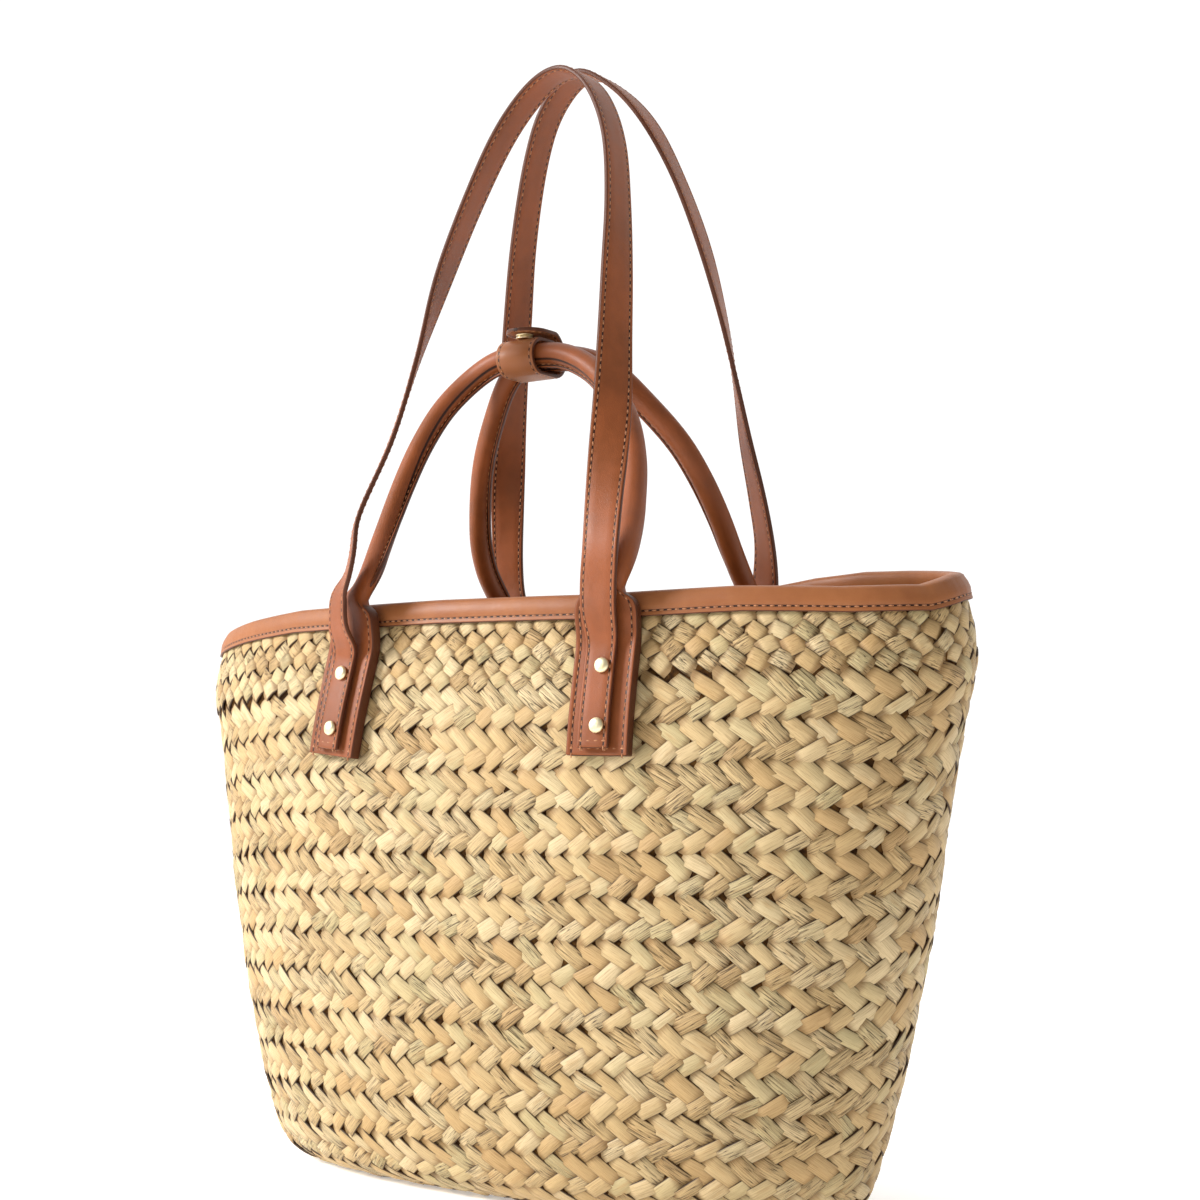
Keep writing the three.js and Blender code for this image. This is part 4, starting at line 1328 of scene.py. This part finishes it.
@dataclass
class Sewing:
    """Stitch lines: pitch, length, thickness and sink of a stitch, and the tree that lays them."""

    pitch: float = 3.7
    length: float = 2.5
    thick: float = 0.85
    sink: float = 0.12
    sides: int = 6

    def __post_init__(self) -> None:
        """Makes the tree, the stitch and the thread."""
        self.tree = stitch_tree()
        self.finish = ThreadFinish().material("tan thread")
        rings = []
        for place, size in ((-0.5, 0.35), (-0.40, 0.85), (0.0, 1.0), (0.40, 0.85), (0.5, 0.35)):
            turn = 2 * np.pi * np.arange(self.sides) / self.sides
            sag = -0.5 * self.thick * (2 * abs(place)) ** 3
            rings.append(np.stack([np.full(self.sides, place * self.length),
                                   np.cos(turn) * self.thick / 2 * size,
                                   np.sin(turn) * self.thick / 2 * size + sag], -1))
        self.stitch = outward(make_mesh("stitch", np.concatenate(rings), ring_faces(len(rings), self.sides)))
        self.stitch.hide_render = True

    def along(self, name: str, lines: Sequence[tuple[Array, Array]]) -> bpy.types.Object:
        """Lays stitches along lines.

        Args:
            name: name of the piece.
            lines: points and outward directions of each line.

        Returns:
            The stitches as one mesh.
        """
        points, edges, ups, start = [], [], [], 0
        for line, up in lines:
            points.append(line)
            ups.append(up)
            edges += [(start + k, start + k + 1) for k in range(len(line) - 1)]
            start += len(line)
        base = make_mesh(name + "_line", np.concatenate(points), values={"face_out": np.concatenate(ups)},
                         edges=edges)
        return self.tree.grow(name, base, {
            "Pitch": self.pitch * MM, "Stitch": self.stitch, "Material": self.finish})

    def on_strip(self, line: Station, inset: float, face: float, start: int = 0,
                 stop: Optional[int] = None) -> list[tuple[Array, Array]]:
        """Two lines along the edges of a strip.

        Args:
            line: stations of the strip.
            inset: distance from each edge.
            face: 1 for the outer face, -1 for the inner one.
            start: first station.
            stop: station after the last.

        Returns:
            The two lines.
        """
        _, wide, out = line.frames()
        half, thick = line.width / 2, line.thick / 2
        found = []
        for sign in (-1, 1):
            share = (half - inset) / half
            rise = thick - self.sink - (line.dish * (1 - share ** 2) if face > 0 else 0)
            points = line.points + wide * (sign * (half - inset))[:, None] + out * (face * rise)[:, None]
            found.append((points[start:stop], (out * face)[start:stop]))
        return found

    def end_rows(self, line: Station, inset: float) -> list[tuple[Array, Array]]:
        """Rows across both ends of a strip on its outer face."""
        _, wide, out = line.frames()
        found = []
        for order in (1, -1):
            points = line.points[::order]
            length = distances(points)
            at = int(np.searchsorted(length, inset))
            at = at if order > 0 else len(points) - 1 - at
            half = line.width[at] / 2
            places = np.linspace(inset - half, half - inset, 9)
            rise = line.thick[at] / 2 - self.sink - line.dish[at] * (1 - (places / half) ** 2)
            row = line.points[at] + wide[at] * places[:, None] + out[at] * rise[:, None]
            found.append((row, np.tile(out[at], (9, 1))))
        return found

    def finish_off(self) -> None:
        """Removes the loose stitch."""
        bpy.data.objects.remove(self.stitch)


@dataclass
class Leatherwork:
    """Rim binding, handles, straps, wrap and their seams."""

    form: BasketForm
    harness: Harness
    sewing: Sewing
    wrap_width: float = 23.0
    wrap_thick: float = 2.0
    wrap_place: float = -17.0
    wrap_lift: float = 3.0
    wrap_sag: float = 2.6
    flap_reach: float = 8.0
    snap_width: float = 9.0
    around: int = 360
    crease: float = 0.22
    binding_seam: float = 2.4
    wrap_seam: float = 2.0
    flange_width: float = 3.4
    flange_thick: float = 2.0
    flange_seam: float = 1.3
    flange_aim: float = 0.35

    def __post_init__(self) -> None:
        """Makes the two leather finishes."""
        self.tan = LeatherFinish().material("tan leather")
        self.light_tan = LeatherFinish(light="9E6238", deep="8C522D").material("light tan leather")

    def wrap_radius(self) -> float:
        """Radius of the middle of the wrap's leather round each tube."""
        play = self.harness.curve_gap + (self.form.gap + self.wrap_sag) / 2
        return self.harness.tube_thick / 2 + play + self.wrap_thick / 2

    def wrap_height(self) -> float:
        """Height of the middle of the wrap."""
        return self.form.rim_height + self.harness.handle_rise - self.wrap_sag / 2

    def dress(self, thing: bpy.types.Object, material: bpy.types.Material) -> bpy.types.Object:
        """Gives a piece its material."""
        thing.data.materials.append(material)
        return thing

    def binding(self) -> list[bpy.types.Object]:
        """Rim binding with its seam near the lower edge."""
        lip, wall, gap = self.form.leather, self.form.wall, self.form.gap
        near, far, depth = self.harness.curve_gap, self.harness.curve_gap + lip, self.harness.binding_depth
        proud = self.harness.binding_proud
        top = lip + gap
        seam = depth - self.binding_seam
        rows = [(near, depth, 1.0), (far - 0.3, depth, 1.0), (far, depth - 0.3, 0.8), (far, depth - 0.8, 0),
                (far - 0.05, seam + 0.7, 0), (far - 0.3, seam, 0), (far + 0.1, seam - 0.8, 0),
                (proud, depth * 0.45, 0), (proud - 0.1, depth * 0.2, 0), (far, 0, 0),
                (far - 0.5, -top * 0.45, 0), (near - 0.1, -top * 0.82, 0), (-wall / 2, -top, 0)]
        mirror = [(-wall - out, down, edge) for out, down, edge in reversed(rows[:-1])]
        inner = [(-wall - near, -gap, 0), (near, -gap, 0)]
        section = rows + mirror + inner
        points, edge, sewn = [], [], []
        for k in range(self.around):
            angle = 2 * math.pi * k / self.around
            rim = self.form.point(angle, 1.0)[2]
            waves = math.sin(23 * angle + 1) * math.sin(61 * angle) + 0.6 * math.sin(97 * angle)
            crease = self.crease * abs(waves)
            for out, down, mark in section:
                level = 1 - max(0.0, down) / self.form.straw_height
                creased = mark == 0 and out > near and down < seam - 0.5
                point = self.form.point(angle, level, -out - crease * creased)
                point[2] = rim - down
                points.append(point)
                edge.append(mark)
                # the seam row is marked for the leather finish's painted shade
                sewn.append(float(down == seam))
        faces = ring_faces(self.around, len(section), True)
        marks = {"edge": np.array(edge), "seam": np.array(sewn)}
        band = outward(make_mesh("rim_binding_leather", points, faces, values=marks))
        self.dress(band, self.light_tan)
        lines = []
        for out, face in ((far - 0.18, 1.0), (-wall - far + 0.18, -1.0)):
            angles = np.linspace(0, 2 * np.pi, 700)
            line = self.form.point(angles, 1 - seam / self.form.straw_height, -out)
            line[:, 2] = self.form.point(angles, 1.0)[:, 2] - seam
            east = unit(np.gradient(line, axis=0))
            up = unit(np.cross(east, np.array([0, 0, 1.0]))) * face
            lines.append((line, up))
        return [band, self.sewing.along("rim_binding_stitches", lines)]

    def strap(self, side: Side) -> list[bpy.types.Object]:
        """Shoulder strap, stitched along both edges on both faces."""
        line, inset = self.harness.strap_line(side), self.harness.strap_seam
        name = side.name.lower()
        strap = self.dress(strip_mesh(f"{name}_strap_leather", line, Section(seam_inset=inset)), self.tan)
        lines = self.sewing.on_strip(line, inset, 1) + self.sewing.on_strip(line, inset, -1)
        lines += self.sewing.end_rows(line, inset)
        return [strap, self.sewing.along(f"{name}_strap_stitches", lines)]

    def handle(self, side: Side) -> list[bpy.types.Object]:
        """Short handle: two stitched tabs and a rolled tube between them."""
        line, inset = self.harness.handle_line(side), self.harness.tab_seam
        name = side.name.lower()
        section = Section(corner=0.9, seam_inset=inset)
        handle = self.dress(strip_mesh(f"{name}_handle_leather", line, section), self.tan)
        flat = np.where(line.square < 6.5)[0]
        first, last = int(flat[0]), int(flat[-1])
        lines = self.sewing.on_strip(line, inset, 1, 0, first) + self.sewing.on_strip(line, inset, 1, last)
        lines += self.sewing.end_rows(line, inset)
        flange = self.flange(line, first + 4, last - 4)
        section = Section(corner=0.5, seam_inset=self.flange_seam)
        seam = self.dress(strip_mesh(f"{name}_flange", flange, section), self.tan)
        _, wide, out = flange.frames()
        for face in (-1, 1):
            place = flange.points - wide * 0.2 + out * (face * (flange.thick / 2 - 0.05))[:, None]
            lines.append((place, out * face))
        handle = join(handle.name, [handle, seam])
        return [handle, self.sewing.along(f"{name}_handle_stitches", lines)]

    def flange(self, line: Station, start: int, stop: int) -> Station:
        """Sewn edge that stands out of a rolled tube all along the inner side of its arch.

        Args:
            line: stations of the handle.
            start: first station of the tube.
            stop: station after its last.

        Returns:
            The stations of the flange.
        """
        along, _, _ = line.frames()
        points, along = line.points[start:stop], along[start:stop]
        centre = np.array([0.0, 0.0, self.form.rim_height + self.flange_aim * self.harness.handle_rise])
        inward = centre - points
        inward[:, 1] = 0
        inward = unit(inward - along * np.sum(inward * along, -1, keepdims=True))
        radius = line.thick[start:stop] / 2
        count = len(points)
        return Station(points + inward * (radius + 0.1)[:, None], inward,
                       np.full(count, self.flange_width), np.full(count, self.flange_thick),
                       np.full(count, self.harness.tab_square), np.zeros(count))

    def wrap(self) -> list[bpy.types.Object]:
        """Strip round both handles, with a round-ended flap."""
        harness = self.harness
        meet = harness.tube_thick / 2 + self.form.gap
        radius = self.wrap_radius()
        middle = np.array([self.wrap_place, 0, self.wrap_height()])
        top = radius + self.wrap_lift + self.wrap_thick
        rows = [(meet, radius, 1.0), (0.0, radius, 1.0)]
        for k in range(13):
            angle = math.pi / 2 + math.pi * k / 12
            rows.append((-meet + radius * math.cos(angle), radius * math.sin(angle), 1.0))
        for k in range(15):
            angle = -math.pi / 2 + math.pi * k / 14
            rise = max(0.0, (top - radius) * (k / 2 - 3) / 4)
            grown = radius + rise * math.sin(max(0.0, angle))
            side = rise * 0.3 * math.cos(angle) if k > 6 else 0.0
            rows.append((meet + radius * math.cos(angle) + side, grown * math.sin(angle), 1.0))
        end = -meet - self.flap_reach
        for back in (14.0, 11.5, 9.5, 7.5, 6.0, 4.6, 3.4, 2.4, 1.6, 0.9, 0.4, 0.1):
            reach = min(1.0, back / 11.5)
            rows.append((end + back, top, max(0.22, math.sqrt(1 - (1 - reach) ** 2))))
        table = smooth_rows(np.array(rows), 2)
        count = len(table)
        line = Station(middle + np.stack([0 * table[:, 0], table[:, 0], table[:, 1]], -1),
                       np.tile([1.0, 0, 0], (count, 1)), self.wrap_width * table[:, 2],
                       np.full(count, self.wrap_thick), np.full(count, harness.tab_square), np.zeros(count))
        inset = self.wrap_seam
        section = Section(corner=0.5, seam_inset=inset, groove=0.15)
        band = self.dress(strip_mesh("handle_wrap_leather", line, section), self.light_tan)
        full = int(np.sum(table[:, 2] > 0.6))
        lines = self.sewing.on_strip(line, inset, -1, 0, full) + self.sewing.on_strip(line, inset, 1, 0, full)
        return [band, self.sewing.along("handle_wrap_stitches", lines)]


@dataclass
class Metalwork:
    """Pale gold rivets and the snap fastener."""

    form: BasketForm
    harness: Harness
    leatherwork: Leatherwork
    sides: int = 32
    shank: float = 1.5
    back_cap: float = 1.2

    def __post_init__(self) -> None:
        """Makes the finish."""
        self.gold = GoldFinish().material("pale gold")

    def turned(self, name: str, rows: Sequence[tuple[float, float]]) -> bpy.types.Object:
        """Solid turned about Z from radii and heights, starting and ending on the axis."""
        turn = 2 * np.pi * np.arange(self.sides) / self.sides
        rings = [np.stack([r * np.cos(turn), r * np.sin(turn), np.full(self.sides, z)], -1) for r, z in rows]
        return outward(make_mesh(name, np.concatenate(rings), ring_faces(len(rings), self.sides)))

    def rivets(self) -> list[tuple[bpy.types.Object, str]]:
        """Rivets with domed caps outside and flat caps inside, and the node that each replaces."""
        harness, form = self.harness, self.form
        seat = 2 * harness.curve_gap + harness.tab_thick + harness.strap_thick + form.gap
        inner = -(form.wall + harness.curve_gap)
        cap, high = harness.rivet_cap / 2, harness.rivet_cap_height
        shank, back = self.shank, inner - self.back_cap
        rows = [(0.3, back), (cap - 0.5, back), (cap - 0.1, inner - 1.0), (cap, inner - 0.6),
                (cap - 0.2, inner), (shank, inner), (shank, seat), (cap - 0.25, seat), (cap, seat + 0.15),
                (cap, seat + 0.4)]
        for k in range(1, 8):
            angle = math.pi / 2 * k / 8
            rows.append((cap * math.cos(angle) ** 0.6, seat + 0.4 + (high - 0.4) * math.sin(angle)))
        rows.append((0.15, seat + high))
        shape = self.turned("rivet_shape", rows)
        tree = rivet_tree()
        found = []
        for node, point, normal in harness.rivets():
            base = make_mesh(node + "_place", [point], values={"face_out": np.array([normal])})
            piece = tree.grow(node + "_gold", base, {"Shape": shape, "Material": self.gold})
            found.append((piece, node))
        bpy.data.objects.remove(shape)
        return found

    def snap(self) -> bpy.types.Object:
        """Closed snap fastener between the flap and the wrap."""
        work, harness = self.leatherwork, self.harness
        radius = work.wrap_radius()
        low = radius + work.wrap_thick / 2 + self.form.gap
        high = radius + work.wrap_lift + work.wrap_thick / 2 - self.form.gap
        lip = 0.3 * (high - low)
        wide = work.snap_width / 2
        rows = [(0.1, low), (wide - 0.2, low), (wide, low + 0.2), (wide, low + lip),
                (wide * 0.7, low + 1.3 * lip),
                (wide * 0.66, (low + high) / 2), (wide * 0.7, high - 1.3 * lip), (wide, high - lip),
                (wide, high - 0.2), (wide - 0.2, high), (0.1, high)]
        shape = self.turned("snap_shape", rows)
        place = np.array([[work.wrap_place, -(harness.tube_thick / 2 + self.form.gap), work.wrap_height()]])
        base = make_mesh("snap_place", place, values={"face_out": np.array([[0, 0, 1.0]])})
        piece = rivet_tree().grow("snap_fastener_gold", base, {"Shape": shape, "Material": self.gold})
        bpy.data.objects.remove(shape)
        return piece


@dataclass
class Studio:
    """Camera, lights, world and floor."""

    azimuth: float = 35.0
    distance: float = 0.999
    height: float = 0.2077
    focal: float = 1987.0
    centre_x: float = 557.9
    centre_y: float = 756.5
    photo_width: float = 1200.0
    sensor: float = 36.0
    backdrop: float = 1.1
    room: float = 0.4
    aim_height: float = 0.2
    floor_reach: float = 6000.0

    def camera(self) -> None:
        """Puts the camera at the photograph's viewing angle."""
        turn = math.radians(self.azimuth)
        middle = self.photo_width / 2
        yaw = math.atan((middle - self.centre_x) / self.focal)
        pitch = math.atan((self.centre_y - middle) / self.focal)
        place = Vector((self.distance * math.sin(turn), -self.distance * math.cos(turn), self.height))
        ahead = Vector((-math.sin(turn), math.cos(turn), 0))
        right = Vector((math.cos(turn), math.sin(turn), 0))
        level = ahead * math.cos(yaw) + right * math.sin(yaw)
        right = right * math.cos(yaw) - ahead * math.sin(yaw)
        look = level * math.cos(pitch) + Vector((0, 0, 1)) * math.sin(pitch)
        data = bpy.data.cameras.new("camera")
        data.sensor_fit = "HORIZONTAL"
        data.sensor_width = self.sensor
        data.lens = self.focal * self.sensor / self.photo_width
        data.clip_start = 0.01
        data.clip_end = 50.0
        camera = bpy.data.objects.new("camera", data)
        bpy.context.scene.collection.objects.link(camera)
        up = right.cross(look)
        camera.matrix_world = Matrix((
            (right.x, up.x, -look.x, place.x), (right.y, up.y, -look.y, place.y),
            (right.z, up.z, -look.z, place.z), (0, 0, 0, 1)))
        bpy.context.scene.camera = camera

    def light(self, name: str, place: Sequence[float], size: float, power_watts: float) -> None:
        """Square soft light that looks at the bag."""
        data = bpy.data.lights.new(name, "AREA")
        data.shape = "SQUARE"
        data.size = size
        data.energy = power_watts
        lamp = bpy.data.objects.new(name, data)
        bpy.context.scene.collection.objects.link(lamp)
        lamp.location = place
        aim = Vector((0, 0, self.aim_height)) - Vector(place)
        lamp.rotation_euler = aim.to_track_quat("-Z", "Y").to_euler()

    def build(self) -> None:
        """Makes the studio."""
        self.camera()
        self.light("key_light", (-1.7, -1.6, 1.35), 0.7, 84)
        self.light("top_light", (-0.5, 0.3, 2.2), 1.4, 9)
        world = bpy.data.worlds.new("studio")
        world.use_nodes = True
        tree = Tree(world.node_tree)
        apart = tree.node("ShaderNodeVectorMath", {"operation": "DOT_PRODUCT"},
                          {0: tree.object_place(), 1: (-0.57, 0.82, 0.0)}, "Value")
        strength = apart.step(-0.15, 0.45, self.room, self.backdrop)
        sky = tree.node("ShaderNodeBackground", {}, {"Color": (1, 1, 1, 1), "Strength": strength})
        tree.node("ShaderNodeOutputWorld", {}, {"Surface": sky})
        bpy.context.scene.world = world
        far = self.floor_reach
        corners = [(-far, -far, 0), (far, -far, 0), (far, far, 0), (-far, far, 0)]
        floor = make_mesh("floor", corners, [(0, 1, 2, 3)], False)
        floor.data.materials.append(FloorFinish().material("pale floor"))
        view = bpy.context.scene.view_settings
        view.view_transform = "Standard"
        view.look = "None"


def settle(thing: bpy.types.Object, slot: str, *nodes: str) -> None:
    """Lets a piece ride on the bag and hides the nodes that it stands for."""
    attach(thing, "root")
    if nodes:
        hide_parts(*nodes)
    LOG.info("%s: %d faces", thing.name, len(thing.data.polygons))


def main() -> None:
    """Builds the bag piece by piece."""
    logging.basicConfig(level=logging.INFO, format="%(name)s: %(message)s")
    Studio().build()
    form = BasketForm()
    harness = Harness(form)
    plait = Plait(form, Surface(form))
    for piece in plait.build():
        settle(piece, "straw", "basket_body")
    sewing = Sewing()
    work = Leatherwork(form, harness, sewing)
    groups = [("rim_binding", work.binding()), ("handle_wrap", work.wrap())]
    for side in Side:
        groups.append((f"{side.name.lower()}_handle", work.handle(side)))
        groups.append((f"{side.name.lower()}_strap", work.strap(side)))
    for node, pieces in groups:
        for piece in pieces:
            settle(piece, "leather", node)
    sewing.finish_off()
    metal = Metalwork(form, harness, work)
    for piece, node in metal.rivets():
        settle(piece, "gold", node)
    settle(metal.snap(), "gold", "snap_fastener")


if __name__ == "__main__":
    main()
